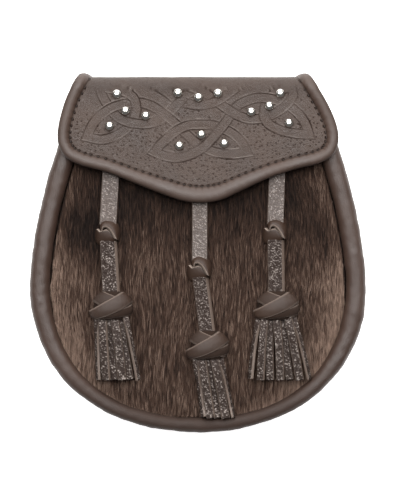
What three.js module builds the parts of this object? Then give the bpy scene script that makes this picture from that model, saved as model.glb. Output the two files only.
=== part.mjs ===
// A leather sporran: a flat-backed pouch with a hair-on front, a studded flap and three tassels.
// It lies on its back. +X is its right, +Y runs from its round bottom to its top fold, and
// +Z comes out of its front. The origin is under the middle of the whole, on the surface
// that it lies on. Millimetres.
import * as THREE from "three";
import { mergeVertices } from "three/addons/utils/BufferGeometryUtils.js";

// ---- driving dimensions -------------------------------------------------------------------
const GAP = 0.3; // clearance between pieces that meet
const LEATHER = 2.4; // flap, gusset, loops
const STRAP = 1.8; // tassel leather

// The pouch seen from the front: widest at WAIST_Y, a rounded bowl below it, tapering above.
const HALF_WIDTH = 100.8;
const WAIST_Y = -19.5;
const BOWL_DEPTH = 88.2;
const BOWL_POWER = 2.16; // exponent of the bowl's superellipse
const TAPER = 0.01123; // half width lost above the waist is TAPER * rise ^ TAPER_POWER
const TAPER_POWER = 1.65;
const BODY_TOP_Y = 99;

// The pouch from back to front.
const BACK_WELT = { width: 9, height: 8.1, foot: 2.2, inset: 0.5 }; // foot: half its flat underside
const BACK_FACE_Z = 8.5; // outer face of the back panel, inside the back welt
const BACK_THICK = 2.8;
const GUSSET_INSET = 3.2;
const WELT_TOP_Z = 35; // crest of the front welt
const WELT_HEIGHT = 11;
const WELT_WIDTH = { side: 12, foot: 8.7 }; // narrower round the bottom of the bowl
const FRONT = { edgeZ: 29.2, thick: 3.4, topY: 92 }; // hide with its hair lying flat
const CROWN = { height: 4.2, y: -25, up: 122, down: 75, power: 0.7 }; // its bulge, fading up and down

// The flap: a sheet that lies on the front, turns over the top and ends on the back panel.
const FLAP_Z = 38.6; // middle of the leather on the front
const FLAP_TOP_Y = 104.2; // middle of the leather on the fold
const FOLD_RADIUS = 7;
const FLAP_TAIL = { halfWidth: 56, length: 15, z: BACK_FACE_Z - GAP - LEATHER / 2 };
// Its rolled edge ends pastFold beyond the first turn of the fold, endHalf out from the middle.
const PIPING = { side: 7.2, point: 9.4, height: 6.4, lift: 0.4, pastFold: 18, endHalf: 67.8 };

// Half width of the flap over its rolled edge, from the lower corner up to the fold.
const FLAP_SIDE = [
  { y: 70, half: 83.8 },
  { y: 77, half: 82.7 },
  { y: 84.3, half: 80.4 },
  { y: 91.5, half: 77.4 },
  { y: 98.7, half: 73.6 },
  { y: 106, half: 69.6 },
  { y: 113, half: 68.2 },
];
const FLAP_LEAN = { x: -2.4, low: 68, high: 108 }; // the flap sits skewed: its top is off to the left
// Its lower edge, from the left corner through the point to the right corner.
const FLAP_EDGE = [
  { x: -82.9, y: 63.3 },
  { x: -78.9, y: 56.9 },
  { x: -70.6, y: 52.3 },
  { x: -54.6, y: 47.9 },
  { x: -38.4, y: 41.5 },
  { x: -22.4, y: 35.2 },
  { x: -9.6, y: 30.9 },
  { x: 1, y: 29.6 },
  { x: 13, y: 31.1 },
  { x: 25.8, y: 36.7 },
  { x: 42, y: 44.2 },
  { x: 58, y: 49.6 },
  { x: 72.5, y: 53.3 },
  { x: 79.9, y: 57.6 },
  { x: 83.2, y: 63.6 },
];

// Domed nickel studs on the flap.
const STUD = { radius: 2.8, dome: 2.2 };
const STUDS = [
  { x: -48.4, y: 94.4 },
  { x: -43.3, y: 84.4 },
  { x: -31.2, y: 81.4 },
  { x: -52.8, y: 75.3 },
  { x: -12, y: 95 },
  { x: 0.2, y: 92.3 },
  { x: 11.8, y: 94.8 },
  { x: 49, y: 94.8 },
  { x: 42.5, y: 87.3 },
  { x: 31.7, y: 83.8 },
  { x: 54.2, y: 77.1 },
  { x: 2, y: 70.2 },
  { x: -11.2, y: 63.6 },
  { x: 15.6, y: 64.9 },
];

// The tassels. x is the middle at each place down the tassel; y the height of that place.
const TASSELS = [
  {
    side: "left",
    strapWidth: 10.5,
    sewn: { x: -51.4, y: 62 },
    hitch: { x: -54, y: 11.7 },
    head: { x: -51.6, y: -31.5, width: 26.9 },
    fringe: { x: -47.6, y: -76.9, top: 20.5, width: 27.4 },
  },
  {
    side: "centre",
    strapWidth: 9.6,
    sewn: { x: 1.1, y: 50 },
    hitch: { x: 0.9, y: -9.9 },
    head: { x: 5.8, y: -55.1, width: 26.6 },
    fringe: { x: 12.3, y: -99.6, top: 18.6, width: 21.5 },
  },
  {
    side: "right",
    strapWidth: 10.2,
    sewn: { x: 47.8, y: 62 },
    hitch: { x: 46.2, y: 12.3 },
    head: { x: 46.8, y: -31.5, width: 28.3 },
    fringe: { x: 49.2, y: -76.9, top: 23, width: 38 },
  },
];
const HITCH = { width: 12.6, length: 13.4, thick: 6.6, lift: 1.2 }; // lift: of the strap in it
const HEAD = { length: 17.6, thick: 14 };
const FRINGE = { thickTop: 8.6, thickEnd: 5, offHair: 1.6, overWelt: -0.9 }; // the end meets the welt

const LOOP = { x: 44, width: 26, bottomY: 26, topY: 76, pad: 9, rise: 6, slot: 5 };
const SNAP = { x: 0, y: 70, radius: 6.5 };

// ---- shared geometry ----------------------------------------------------------------------
const mix = THREE.MathUtils.lerp;
const smooth = THREE.MathUtils.smoothstep;

// A three.js geometry with each vertex (x, y, z) moved to place(x, y, z), seams merged.
function shaped(geometry, place) {
  const position = geometry.getAttribute("position");
  for (let i = 0; i < position.count; i++) {
    const moved = place(position.getX(i), position.getY(i), position.getZ(i));
    position.setXYZ(i, moved.x, moved.y, moved.z);
  }
  geometry.deleteAttribute("normal");
  geometry.deleteAttribute("uv");
  const merged = mergeVertices(geometry, 1e-4);
  merged.computeVertexNormals();
  return merged;
}

// A unit cylinder about Y, turned so that its widest points across X are corners.
function rod(sides, steps) {
  const turn = sides % 4 === 0 ? 0 : Math.PI / sides;
  return new THREE.CylinderGeometry(1, 1, 1, sides, steps, false, turn);
}

// A filled roll of leather: a rod whose axis follows at(t), t from 0 to 1. at(t) gives the
// section's centre and its half-axes a and b.
function tube(sides, steps, at) {
  return shaped(rod(sides, steps), (x, y, z) => {
    const section = at(y + 0.5);
    const point = section.centre.clone();
    return point.addScaledVector(section.a, x).addScaledVector(section.b, z);
  });
}

// A sheet: a unit box mapped by place(u, v, w), u and v from 0 to 1 and w from -1 to 1.
function sheet(across, along, place) {
  return shaped(new THREE.BoxGeometry(1, 1, 1, across, along, 1), (x, y, z) =>
    place(x + 0.5, y + 0.5, 2 * z),
  );
}

// The value of one column of a table at a place along another, straight between rows.
function lookUp(table, key, value, at) {
  const next = table.findIndex((row) => row[key] > at);
  if (next === 0) return table[0][value];
  if (next < 0) return table[table.length - 1][value];
  const [low, high] = [table[next - 1], table[next]];
  return mix(low[value], high[value], (at - low[key]) / (high[key] - low[key]));
}

// ---- the pouch's outline --------------------------------------------------------------------
function bodyHalfWidth(y) {
  if (y >= WAIST_Y) return HALF_WIDTH - TAPER * (y - WAIST_Y) ** TAPER_POWER;
  const fall = Math.min(1, (WAIST_Y - y) / BOWL_DEPTH);
  return HALF_WIDTH * (1 - fall ** BOWL_POWER) ** (1 / BOWL_POWER);
}

// The edge of the pouch from its top left round the bowl to its top right, up to topY.
class PouchEdge extends THREE.Curve {
  constructor(topY) {
    super();
    this.topY = topY;
    this.bowl = 0.6; // share of each half that is bowl
  }
  getPoint(t) {
    const side = t < 0.5 ? -1 : 1;
    const up = Math.abs(2 * t - 1); // 0 at the bottom, 1 at the top
    if (up > this.bowl) {
      const y = mix(WAIST_Y, this.topY, (up - this.bowl) / (1 - this.bowl));
      return new THREE.Vector3(side * bodyHalfWidth(y), y, 0);
    }
    const angle = (up / this.bowl) * (Math.PI / 2);
    const x = HALF_WIDTH * Math.sin(angle) ** (2 / BOWL_POWER);
    const y = WAIST_Y - BOWL_DEPTH * Math.cos(angle) ** (2 / BOWL_POWER);
    return new THREE.Vector3(side * x, y, 0);
  }
}

// A place on the edge, with the direction out of the pouch there.
function onEdge(edge, t) {
  const point = edge.getPointAt(t);
  const tangent = edge.getTangentAt(t);
  return { point, outward: new THREE.Vector3(tangent.y, -tangent.x, 0) };
}

// The closed outline of a panel that lies inside the edge, inset(y) in from it.
function panelOutline(topY, inset, steps) {
  const edge = new PouchEdge(BODY_TOP_Y);
  const sides = [];
  for (let i = 0; i <= steps; i++) {
    const { point, outward } = onEdge(edge, i / steps);
    const moved = point.addScaledVector(outward, -inset(point.y));
    if (moved.y < topY) sides.push(moved);
  }
  // The edge leans in at the top, so its inset measured level is a little longer.
  const cornerX = bodyHalfWidth(topY) - 1.09 * inset(topY);
  const [left, right] = [-cornerX, cornerX].map((x) => new THREE.Vector3(x, topY, 0));
  const top = [0.2, 0.4, 0.6, 0.8].map((share) => right.clone().lerp(left, share));
  return [left, ...sides, right, ...top];
}

// A plate with that outline: rings of it shrunk towards the middle, z from front(x, y) down
// by thick. Built as a lathed disc whose rings and spokes are then laid on the outline.
function plate(outline, rings, front, thick) {
  const middle = new THREE.Vector3();
  const upper = rings.map((r) => new THREE.Vector2(r, 0));
  const lower = rings.map((r) => new THREE.Vector2(r, 1)).reverse();
  const profile = [...upper, ...lower];
  const disc = new THREE.LatheGeometry(profile, outline.length);
  const position = disc.getAttribute("position");
  for (let i = 0; i < position.count; i++) {
    const spoke = Math.floor(i / profile.length) % outline.length;
    const ring = profile[i % profile.length];
    const point = middle.clone().lerp(outline[outline.length - 1 - spoke], ring.x);
    position.setXYZ(i, point.x, point.y, front(point.x, point.y) - ring.y * thick);
  }
  return shaped(disc, (x, y, z) => ({ x, y, z }));
}

const RIM_STEPS = 50; // sections round the pouch

// ---- pouch pieces ---------------------------------------------------------------------------
const weltWidth = (y) => mix(WELT_WIDTH.foot, WELT_WIDTH.side, smooth(y, -104, -45));

function frontWelt() {
  const edge = new PouchEdge(BODY_TOP_Y - 1.5);
  const halfHeight = WELT_HEIGHT / 2;
  return tube(10, RIM_STEPS, (t) => {
    const { point, outward } = onEdge(edge, t);
    const half = weltWidth(point.y) / 2;
    const centre = point.addScaledVector(outward, -half).setZ(WELT_TOP_Z - halfHeight);
    return { centre, a: outward.multiplyScalar(half), b: new THREE.Vector3(0, 0, halfHeight) };
  });
}

// The back welt is round except for its underside, pressed flat where the pouch lies.
function backWelt() {
  const edge = new PouchEdge(BODY_TOP_Y - 1.5);
  const { width, height, foot, inset } = BACK_WELT;
  return shaped(rod(10, RIM_STEPS), (x, y, z) => {
    const { point, outward } = onEdge(edge, y + 0.5);
    const under = z < -0.9 && Math.abs(x) > 0.1;
    const across = under ? Math.sign(x) * (foot / (width / 2)) : x;
    const up = under ? -1 : z;
    point.addScaledVector(outward, ((across - 1) * width) / 2 - inset);
    return point.setZ(((up + 1) * height) / 2);
  });
}

function gusset() {
  const edge = new PouchEdge(BODY_TOP_Y);
  const low = BACK_FACE_Z;
  const high = WELT_TOP_Z - WELT_HEIGHT - GAP;
  return sheet(1, RIM_STEPS, (u, v, w) => {
    const { point, outward } = onEdge(edge, v);
    // u runs from the front edge to the back one, w through the leather from inside to outside.
    point.addScaledVector(outward, -GUSSET_INSET - LEATHER / 2 + (w * LEATHER) / 2);
    return point.setZ(mix(high, low, u));
  });
}

function backPanel() {
  const inset = () => GUSSET_INSET + LEATHER + GAP;
  const outline = panelOutline(BODY_TOP_Y - 1, inset, RIM_STEPS);
  return plate(outline, [0, 1], () => BACK_FACE_Z + BACK_THICK, BACK_THICK);
}

// How far the hide's hair stands at a place: low against the welt, crowned over the pouch.
function frontZ(x, y) {
  const across = x / (bodyHalfWidth(y) - 10);
  const along = (y - CROWN.y) / (y > CROWN.y ? CROWN.up : CROWN.down);
  const crown = Math.max(0, 1 - across * across) * Math.max(0, 1 - along * along);
  return FRONT.edgeZ + CROWN.height * crown ** CROWN.power;
}

function frontPanel() {
  const outline = panelOutline(FRONT.topY, (y) => weltWidth(y) + GAP + 0.1, RIM_STEPS);
  return plate(outline, [0, 0.3, 0.55, 0.75, 0.9, 1], frontZ, FRONT.thick);
}

// ---- the flap -------------------------------------------------------------------------------
const FOLD_START = FLAP_TOP_Y - FOLD_RADIUS;
const ARC = (FOLD_RADIUS * Math.PI) / 2;
const FOLD_FLAT = FLAP_Z - FLAP_TAIL.z - 2 * FOLD_RADIUS;
const FLAP_END = FOLD_START + 2 * ARC + FOLD_FLAT + FLAP_TAIL.length;

// A point of the flap: x across, t the way along the leather (y until the fold starts),
// off the height above its middle, on the outside.
function onFlap(x, t, off) {
  const turned = t - FOLD_START;
  const onBack = turned - ARC - FOLD_FLAT;
  const radius = FOLD_RADIUS + off;
  if (turned <= 0) return new THREE.Vector3(x, t, FLAP_Z + off);
  if (turned <= ARC) {
    const angle = turned / FOLD_RADIUS;
    const y = FOLD_START + radius * Math.sin(angle);
    return new THREE.Vector3(x, y, FLAP_Z - FOLD_RADIUS + radius * Math.cos(angle));
  }
  const topY = FLAP_TOP_Y + off;
  if (onBack <= 0) return new THREE.Vector3(x, topY, FLAP_Z - FOLD_RADIUS - (turned - ARC));
  if (onBack <= ARC) {
    const angle = onBack / FOLD_RADIUS;
    const z = FLAP_TAIL.z + FOLD_RADIUS - radius * Math.sin(angle);
    return new THREE.Vector3(x, FOLD_START + radius * Math.cos(angle), z);
  }
  return new THREE.Vector3(x, FOLD_START - (onBack - ARC), FLAP_TAIL.z - off);
}

// How far the flap's middle is off to the side at t.
const flapLean = (t) => FLAP_LEAN.x * smooth(t, FLAP_LEAN.low, FLAP_LEAN.high);

// The flap's outer edge as a flat curve in x and t, from the left end of the rolled edge on
// the fold, down the left side, along the lower edge and up the right side.
function flapEdge() {
  const end = { y: FOLD_START + ARC + PIPING.pastFold, half: PIPING.endHalf };
  const side = (sign) =>
    [...FLAP_SIDE, end].map(
      ({ y, half }) => new THREE.Vector3(flapLean(y) + sign * half, y, 0),
    );
  const lower = FLAP_EDGE.map((row) => new THREE.Vector3(row.x, row.y, 0));
  const points = [...side(-1).reverse(), ...lower, ...side(1)];
  const curve = new THREE.CatmullRomCurve3(points, false, "centripetal");
  curve.arcLengthDivisions = 800;
  return curve;
}
const FLAP_OUTLINE = flapEdge();
const PIPING_STEPS = 72;

// Width of the rolled edge: fuller towards the flap's point.
const pipingWidth = (point) =>
  mix(PIPING.point, PIPING.side, smooth(Math.hypot(point.x, (point.y - 30) * 1.3), 4, 60));

function flapPiping() {
  return tube(8, PIPING_STEPS, (s) => {
    const { point, outward } = onEdge(FLAP_OUTLINE, s);
    const half = pipingWidth(point) / 2;
    const middle = point.clone().addScaledVector(outward, -half);
    const centre = onFlap(middle.x, middle.y, PIPING.lift);
    const a = onFlap(point.x, point.y, PIPING.lift).sub(centre);
    const b = onFlap(middle.x, middle.y, PIPING.lift + PIPING.height / 2).sub(centre);
    return { centre, a: a.setLength(half), b };
  });
}

// The edge of the flap's own leather, just inside the rolled edge, as a table of x and y.
const FLAP_INNER = Array.from({ length: 241 }, (_, i) => {
  const { point, outward } = onEdge(FLAP_OUTLINE, i / 240);
  const inner = point.clone().addScaledVector(outward, -pipingWidth(point) - GAP);
  return { x: inner.x, y: inner.y };
});
const widest = FLAP_INNER.reduce((best, row) => (row.x > best.x ? row : best));
const RIGHT_SIDE = FLAP_INNER.slice(FLAP_INNER.indexOf(widest));
const narrowest = FLAP_INNER.reduce((best, row) => (row.x < best.x ? row : best));
const LOWER = FLAP_INNER.slice(FLAP_INNER.indexOf(narrowest), FLAP_INNER.indexOf(widest) + 1);

// Half width of the flap's leather at t: inside the rolled edge, then stepped in on the back.
function flapHalfWidth(t) {
  const side = lookUp(RIGHT_SIDE, "y", "x", t) - flapLean(t);
  const onBack = FOLD_START + ARC + FOLD_FLAT;
  return mix(side, FLAP_TAIL.halfWidth, smooth(t, onBack - 6, onBack + 3));
}

function flap() {
  const turns = 18;
  const fronts = 4;
  return sheet(18, fronts + turns, (u, v, w) => {
    const across = Math.sin((u - 0.5) * Math.PI);
    const start = lookUp(LOWER, "x", "y", across * widest.x);
    const row = Math.round(v * (fronts + turns));
    const t =
      row <= fronts
        ? mix(start, FOLD_START - 1, row / fronts)
        : mix(FOLD_START - 1, FLAP_END, (row - fronts) / turns);
    const x = flapLean(t) + across * flapHalfWidth(Math.max(t, widest.y));
    return onFlap(x, t, (w * LEATHER) / 2);
  });
}

// A stud is a dome on a short rim, lathed about its own axis and stood on the flap.
function stud() {
  const { radius, dome } = STUD;
  const profile = [
    new THREE.Vector2(0, 0),
    new THREE.Vector2(radius, 0),
    new THREE.Vector2(radius, 0.3),
    new THREE.Vector2(radius * 0.72, dome * 0.72),
    new THREE.Vector2(0, dome),
  ];
  return shaped(new THREE.LatheGeometry(profile, 10), (x, y, z) => ({ x, y: -z, z: y }));
}

// ---- tassels --------------------------------------------------------------------------------
// A flat strap from start to end, each { x, y, z } at the middle of the leather, its ends
// square to it. bow lifts its middle.
function strap(start, end, width, bow) {
  return sheet(1, 6, (u, v, w) => {
    const along = new THREE.Vector3().subVectors(start, end).setZ(0).normalize();
    const point = end.clone().lerp(start, v);
    point.z += bow * Math.sin(Math.PI * v) + (w * STRAP) / 2;
    point.x += (u - 0.5) * width * along.y;
    point.y -= (u - 0.5) * width * along.x;
    return point;
  });
}

// Height of the middle of a strap that lies on the hair at a place.
const lyingZ = (x, y) => frontZ(x, y) + GAP + STRAP / 2;
const lying = ({ x, y }, lift = 0) => new THREE.Vector3(x, y, lyingZ(x, y) + lift);

function upperStrap({ sewn, hitch, strapWidth }) {
  const end = { x: hitch.x, y: hitch.y + HITCH.length / 2 + GAP };
  return strap(lying(sewn), lying(end, HITCH.lift), strapWidth, 0);
}

// The hitch is a flattened oval knot.
function hitchKnot({ hitch }) {
  const z = frontZ(hitch.x, hitch.y) + GAP + HITCH.thick / 2;
  return shaped(new THREE.SphereGeometry(1, 12, 8), (x, y, zz) => {
    const full = (value) => Math.sign(value) * Math.abs(value) ** 0.8;
    return {
      x: hitch.x + (full(x) * HITCH.width) / 2,
      y: hitch.y + (y * HITCH.length) / 2,
      z: z + (full(zz) * HITCH.thick) / 2,
    };
  });
}

const headZ = ({ head }) => frontZ(head.x, head.y) + GAP + HEAD.thick / 2;

function lowerStrap(tassel) {
  const { hitch, head, strapWidth } = tassel;
  const start = { x: hitch.x, y: hitch.y - HITCH.length / 2 - GAP };
  const end = { x: head.x, y: head.y + HEAD.length / 2 + 3.5 * GAP };
  const high = headZ(tassel) - lyingZ(end.x, end.y);
  return strap(lying(start, HITCH.lift), lying(end, high), strapWidth, -1);
}

// The woven head is a short barrel, fullest below its middle.
const HEAD_PROFILE = [
  { up: 0, radius: 0 },
  { up: 0, radius: 0.7 },
  { up: 0.12, radius: 0.9 },
  { up: 0.35, radius: 1 },
  { up: 0.62, radius: 0.94 },
  { up: 0.85, radius: 0.7 },
  { up: 1, radius: 0.38 },
  { up: 1, radius: 0 },
];
function wovenHead(tassel) {
  const { head } = tassel;
  const z = headZ(tassel);
  const profile = HEAD_PROFILE.map((row) => new THREE.Vector2(row.radius, row.up));
  return shaped(new THREE.LatheGeometry(profile, 14), (x, up, depth) => ({
    x: head.x + (x * head.width) / 2,
    y: head.y + (up - 0.5) * HEAD.length,
    z: z + (depth * HEAD.thick) / 2,
  }));
}

// The fringe hangs in a bundle that spreads and thins to its square-cut end.
function fringe(tassel) {
  const { head, fringe: end } = tassel;
  const topY = head.y - HEAD.length / 2 - GAP;
  const top = headZ(tassel) + 0.5;
  return shaped(new THREE.CylinderGeometry(1, 1, 1, 12, 6), (x, y, depth) => {
    const down = 0.5 - y;
    const full = (value) => Math.sign(value) * Math.abs(value) ** 0.75;
    const px = mix(head.x, end.x, down) + (full(x) * mix(end.top, end.width, down ** 0.8)) / 2;
    const py = mix(topY, end.y, down);
    const thick = mix(FRINGE.thickTop, FRINGE.thickEnd, down);
    const onHair = frontZ(mix(head.x, end.x, down), py) + FRINGE.offHair + thick / 2;
    const onWelt = WELT_TOP_Z + FRINGE.overWelt + thick / 2;
    const low = mix(onHair, onWelt, smooth(-py, 92, 98));
    const z = mix(top, low, smooth(down, 0, 0.6)) + (full(depth) * thick) / 2;
    return new THREE.Vector3(px, py, z);
  });
}

// ---- back and closure -----------------------------------------------------------------------
// A belt loop: a leather strip with both ends flat on the back panel and its middle away from it.
function beltLoop(x) {
  const { width, bottomY, topY, pad, rise, slot } = LOOP;
  const onPanel = BACK_FACE_Z - GAP - LEATHER / 2;
  return sheet(1, 24, (u, v, w) => {
    const y = mix(topY, bottomY, v);
    const out = smooth(y, bottomY + pad, bottomY + pad + rise);
    const back = 1 - smooth(y, topY - pad - rise, topY - pad);
    const z = onPanel - (slot - GAP) * out * back - (w * LEATHER) / 2;
    return { x: x + (u - 0.5) * width, y, z };
  });
}

// A press stud between the front and the flap, shown as one plain disc.
function pressStud() {
  const low = frontZ(SNAP.x, SNAP.y) + GAP;
  const high = FLAP_Z - LEATHER / 2 - GAP;
  return shaped(new THREE.CylinderGeometry(1, 1, 1, 16, 1), (x, y, z) => ({
    x: SNAP.x + x * SNAP.radius,
    y: SNAP.y - z * SNAP.radius,
    z: mix(low, high, y + 0.5),
  }));
}

// ---- the assembly ---------------------------------------------------------------------------
const leather = (color, roughness) =>
  new THREE.MeshStandardMaterial({ color, roughness, metalness: 0 });
const WELT_LEATHER = leather(0x6b5a50, 0.5);
const FLAP_LEATHER = leather(0x6e625c, 0.55);
const BACK_LEATHER = leather(0x4a3a30, 0.6);
const TASSEL_LEATHER = leather(0x7a6c62, 0.4);
const HIDE = leather(0x4a392e, 0.85);
const NICKEL = new THREE.MeshStandardMaterial({ color: 0xd9d6d2, roughness: 0.12, metalness: 1 });

const sporran = new THREE.Group();
function add(name, geometry, material) {
  const mesh = new THREE.Mesh(geometry, material);
  mesh.name = name;
  sporran.add(mesh);
  return mesh;
}

add("back_panel", backPanel(), BACK_LEATHER);
add("back_welt", backWelt(), WELT_LEATHER);
add("gusset", gusset(), WELT_LEATHER);
add("front_welt", frontWelt(), WELT_LEATHER);
add("front_panel", frontPanel(), HIDE);
add("flap", flap(), FLAP_LEATHER);
add("flap_piping", flapPiping(), FLAP_LEATHER);
add("press_stud", pressStud(), NICKEL);
add("belt_loop_left", beltLoop(-LOOP.x), BACK_LEATHER);
add("belt_loop_right", beltLoop(LOOP.x), BACK_LEATHER);

STUDS.forEach(({ x, y }, i) => {
  const name = "stud_" + String(i + 1).padStart(2, "0");
  add(name, stud(), NICKEL).position.copy(onFlap(x, y, LEATHER / 2 + GAP));
});

for (const tassel of TASSELS) {
  const name = (piece) => "tassel_" + tassel.side + "_" + piece;
  add(name("upper_strap"), upperStrap(tassel), TASSEL_LEATHER);
  add(name("hitch"), hitchKnot(tassel), TASSEL_LEATHER);
  add(name("lower_strap"), lowerStrap(tassel), TASSEL_LEATHER);
  add(name("woven_head"), wovenHead(tassel), TASSEL_LEATHER);
  add(name("fringe"), fringe(tassel), TASSEL_LEATHER);
}

export default sporran;
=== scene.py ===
import bpy
import numpy as np
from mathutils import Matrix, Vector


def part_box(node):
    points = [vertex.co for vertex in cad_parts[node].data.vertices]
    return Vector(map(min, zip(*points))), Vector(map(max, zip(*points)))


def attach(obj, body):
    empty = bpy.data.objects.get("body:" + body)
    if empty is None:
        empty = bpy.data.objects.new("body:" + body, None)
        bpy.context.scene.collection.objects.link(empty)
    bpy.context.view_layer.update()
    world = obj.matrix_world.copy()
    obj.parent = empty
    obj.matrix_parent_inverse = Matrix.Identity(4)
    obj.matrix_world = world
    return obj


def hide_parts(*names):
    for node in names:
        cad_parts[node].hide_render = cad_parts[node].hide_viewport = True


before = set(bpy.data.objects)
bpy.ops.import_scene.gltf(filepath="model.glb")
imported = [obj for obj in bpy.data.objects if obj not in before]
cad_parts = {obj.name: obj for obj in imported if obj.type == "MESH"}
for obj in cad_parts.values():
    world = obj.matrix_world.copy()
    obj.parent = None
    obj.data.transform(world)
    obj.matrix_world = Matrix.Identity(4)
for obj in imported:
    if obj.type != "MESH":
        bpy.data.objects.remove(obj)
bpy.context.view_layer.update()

# ---- the table, the light and the camera ----------------------------------------------------
# The sporran lies on a top of white acrylic, lit from beneath. Two wide soft lamps hang left
# and right beyond its top end, and a third stands past them like a pale wall. The camera
# looks straight down.
MM = 0.001
TABLE_SIZE = 6.0
LAMPS = [
    # name, place, the point it faces, width and height, all in metres, and watts
    ("panel_left", (-0.66, 0.72, 2.1), (-0.1, 0.1, 0.0), (1.15, 1.7), 46),
    ("panel_right", (0.66, 0.72, 2.1), (0.1, 0.1, 0.0), (1.15, 1.7), 46),
    ("wall", (0.0, 2.4, 1.1), (0.0, 0.0, 0.2), (2.8, 1.6), 62),
]
ROOM_LIGHT = 0.14
CAMERA = {"place": (0.0012, 0.0015, 1.5295), "sensor": 24, "lens": 120}


def linear(hex_colour):
    """The linear colour of an sRGB hex value such as "4a3a30"."""
    values = np.array([int(hex_colour[i : i + 2], 16) for i in (0, 2, 4)]) / 255
    low = values / 12.92
    high = ((values + 0.055) / 1.055) ** 2.4
    return (*np.where(values <= 0.04045, low, high).tolist(), 1.0)


def add_node(material, kind, inputs=(), **settings):
    """Adds a node with its settings. inputs maps a socket's name or number to its value, or
    to the output socket that is linked to it."""
    tree = material.node_tree
    made = tree.nodes.new(kind)
    for key, value in settings.items():
        setattr(made, key, value)
    for key, value in dict(inputs).items():
        if isinstance(value, bpy.types.NodeSocket):
            tree.links.new(value, made.inputs[key])
        else:
            made.inputs[key].default_value = value
    return made


def new_material(name):
    """A node material with no nodes yet."""
    material = bpy.data.materials.new(name)
    material.use_nodes = True
    material.node_tree.nodes.clear()
    return material


def surface(material, **inputs):
    """Gives the material its Principled shader, with the sockets named in inputs."""
    names = {key.replace("_", " ").title().replace("Ior", "IOR"): key for key in inputs}
    sockets = {name: inputs[key] for name, key in names.items()}
    shader = add_node(material, "ShaderNodeBsdfPrincipled", sockets)
    add_node(material, "ShaderNodeOutputMaterial", {"Surface": shader.outputs["BSDF"]})
    return shader


table_mesh = bpy.data.meshes.new("table")
table_corners = np.array([(-1, -1, 0), (1, -1, 0), (1, 1, 0), (-1, 1, 0)]) * TABLE_SIZE / 2
table_mesh.from_pydata(table_corners.tolist(), [], [(0, 1, 2, 3)])
table = bpy.data.objects.new("table", table_mesh)
bpy.context.scene.collection.objects.link(table)
# Matt white acrylic, lit so evenly from beneath that only a trace of shadow is left.
acrylic = new_material("table_acrylic_lit")
surface(
    acrylic, base_color=linear("f7f6f5"), roughness=0.9,
    emission_color=(1, 1, 1, 1), emission_strength=0.85,
)
table_mesh.materials.append(acrylic)


def lamp(name, place, aim, size, power):
    """A rectangular soft lamp at a place, facing a point."""
    data = bpy.data.lights.new(name, "AREA")
    data.shape = "RECTANGLE"
    data.size, data.size_y = size
    data.energy = power
    made = bpy.data.objects.new(name, data)
    made.location = place
    toward = Vector(aim) - Vector(place)
    made.rotation_euler = toward.to_track_quat("-Z", "Y").to_euler()
    bpy.context.scene.collection.objects.link(made)


for row in LAMPS:
    lamp(*row)
world = bpy.data.worlds.new("room")
world.use_nodes = True
world_light = world.node_tree.nodes["Background"]
world_light.inputs["Color"].default_value = (1, 1, 1, 1)
world_light.inputs["Strength"].default_value = ROOM_LIGHT
bpy.context.scene.world = world
bpy.context.scene.view_settings.view_transform = "Standard"

camera_data = bpy.data.cameras.new("camera")
camera_data.sensor_width = CAMERA["sensor"]
camera_data.lens = CAMERA["lens"]
camera_data.clip_start, camera_data.clip_end = 0.05, 20
camera = bpy.data.objects.new("camera", camera_data)
camera.location = CAMERA["place"]
bpy.context.scene.collection.objects.link(camera)
bpy.context.scene.camera = camera

# ---- front welt -----------------------------------------------------------------------------
# A roll of brown cowhide folded over a cord and sewn into the seam between the hide and the
# side wall. It is fullest up the sides and slimmer round the bottom, and puckers on the bend.
HALF_WIDTH, WAIST_Y = 100.8, -19.5
BOWL_DEPTH, BOWL_POWER = 88.2, 2.16
TAPER, TAPER_POWER = 0.01123, 1.65
BODY_TOP_Y = 99.0
WELT_TOP_Z, WELT_HEIGHT = 35.0, 11.0


def smooth(value, low, high):
    """0 below low, 1 above high, and the curve 3t^2 - 2t^3 between."""
    t = np.clip((value - low) / (high - low), 0, 1)
    return t * t * (3 - 2 * t)


def mix(low, high, share):
    """The value that lies share of the way from low to high."""
    return low + (high - low) * share


def unit(vectors):
    return vectors / np.linalg.norm(vectors, axis=-1, keepdims=True)


def body_half_width(y):
    """Half the pouch's width: a superellipse below the waist, a power curve's taper above."""
    y = np.asarray(y, float)
    rise = np.maximum(y - WAIST_Y, 0)
    fall = np.clip((WAIST_Y - y) / BOWL_DEPTH, 0, 1)
    above = HALF_WIDTH - TAPER * rise**TAPER_POWER
    below = HALF_WIDTH * (1 - fall**BOWL_POWER) ** (1 / BOWL_POWER)
    return np.where(y >= WAIST_Y, above, below)


def even(points, count, closed=False):
    """count points at equal distances along a fine polyline, and the direction out of the
    pouch at each, which is its tangent turned a quarter to the right."""
    walked = np.concatenate([[0], np.cumsum(np.linalg.norm(np.diff(points, axis=0), axis=1))])
    marks = np.linspace(0, walked[-1], count, endpoint=not closed)
    places = np.stack([np.interp(marks, walked, column) for column in points.T], 1)
    step = walked[-1] / 4000
    back, ahead = [
        np.stack([np.interp(np.clip(marks + d, 0, walked[-1]), walked, c) for c in points.T], 1)
        for d in (-step, step)
    ]
    tangent = unit(ahead - back)
    return places, np.stack([tangent[:, 1], -tangent[:, 0]], 1)


def pouch_edge(top_y, count):
    """The pouch's edge from its top left, round the bowl, to its top right, evenly spaced."""
    angle = np.linspace(0, np.pi / 2, 1500)
    bowl_x = HALF_WIDTH * np.sin(angle) ** (2 / BOWL_POWER)
    bowl_y = WAIST_Y - BOWL_DEPTH * np.cos(angle) ** (2 / BOWL_POWER)
    side_y = np.linspace(WAIST_Y, top_y, 600)[1:]
    right = np.stack([np.r_[bowl_x, body_half_width(side_y)], np.r_[bowl_y, side_y]], 1)
    left = right[:0:-1] * (-1, 1)
    return even(np.vstack([left, right]), count)


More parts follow.
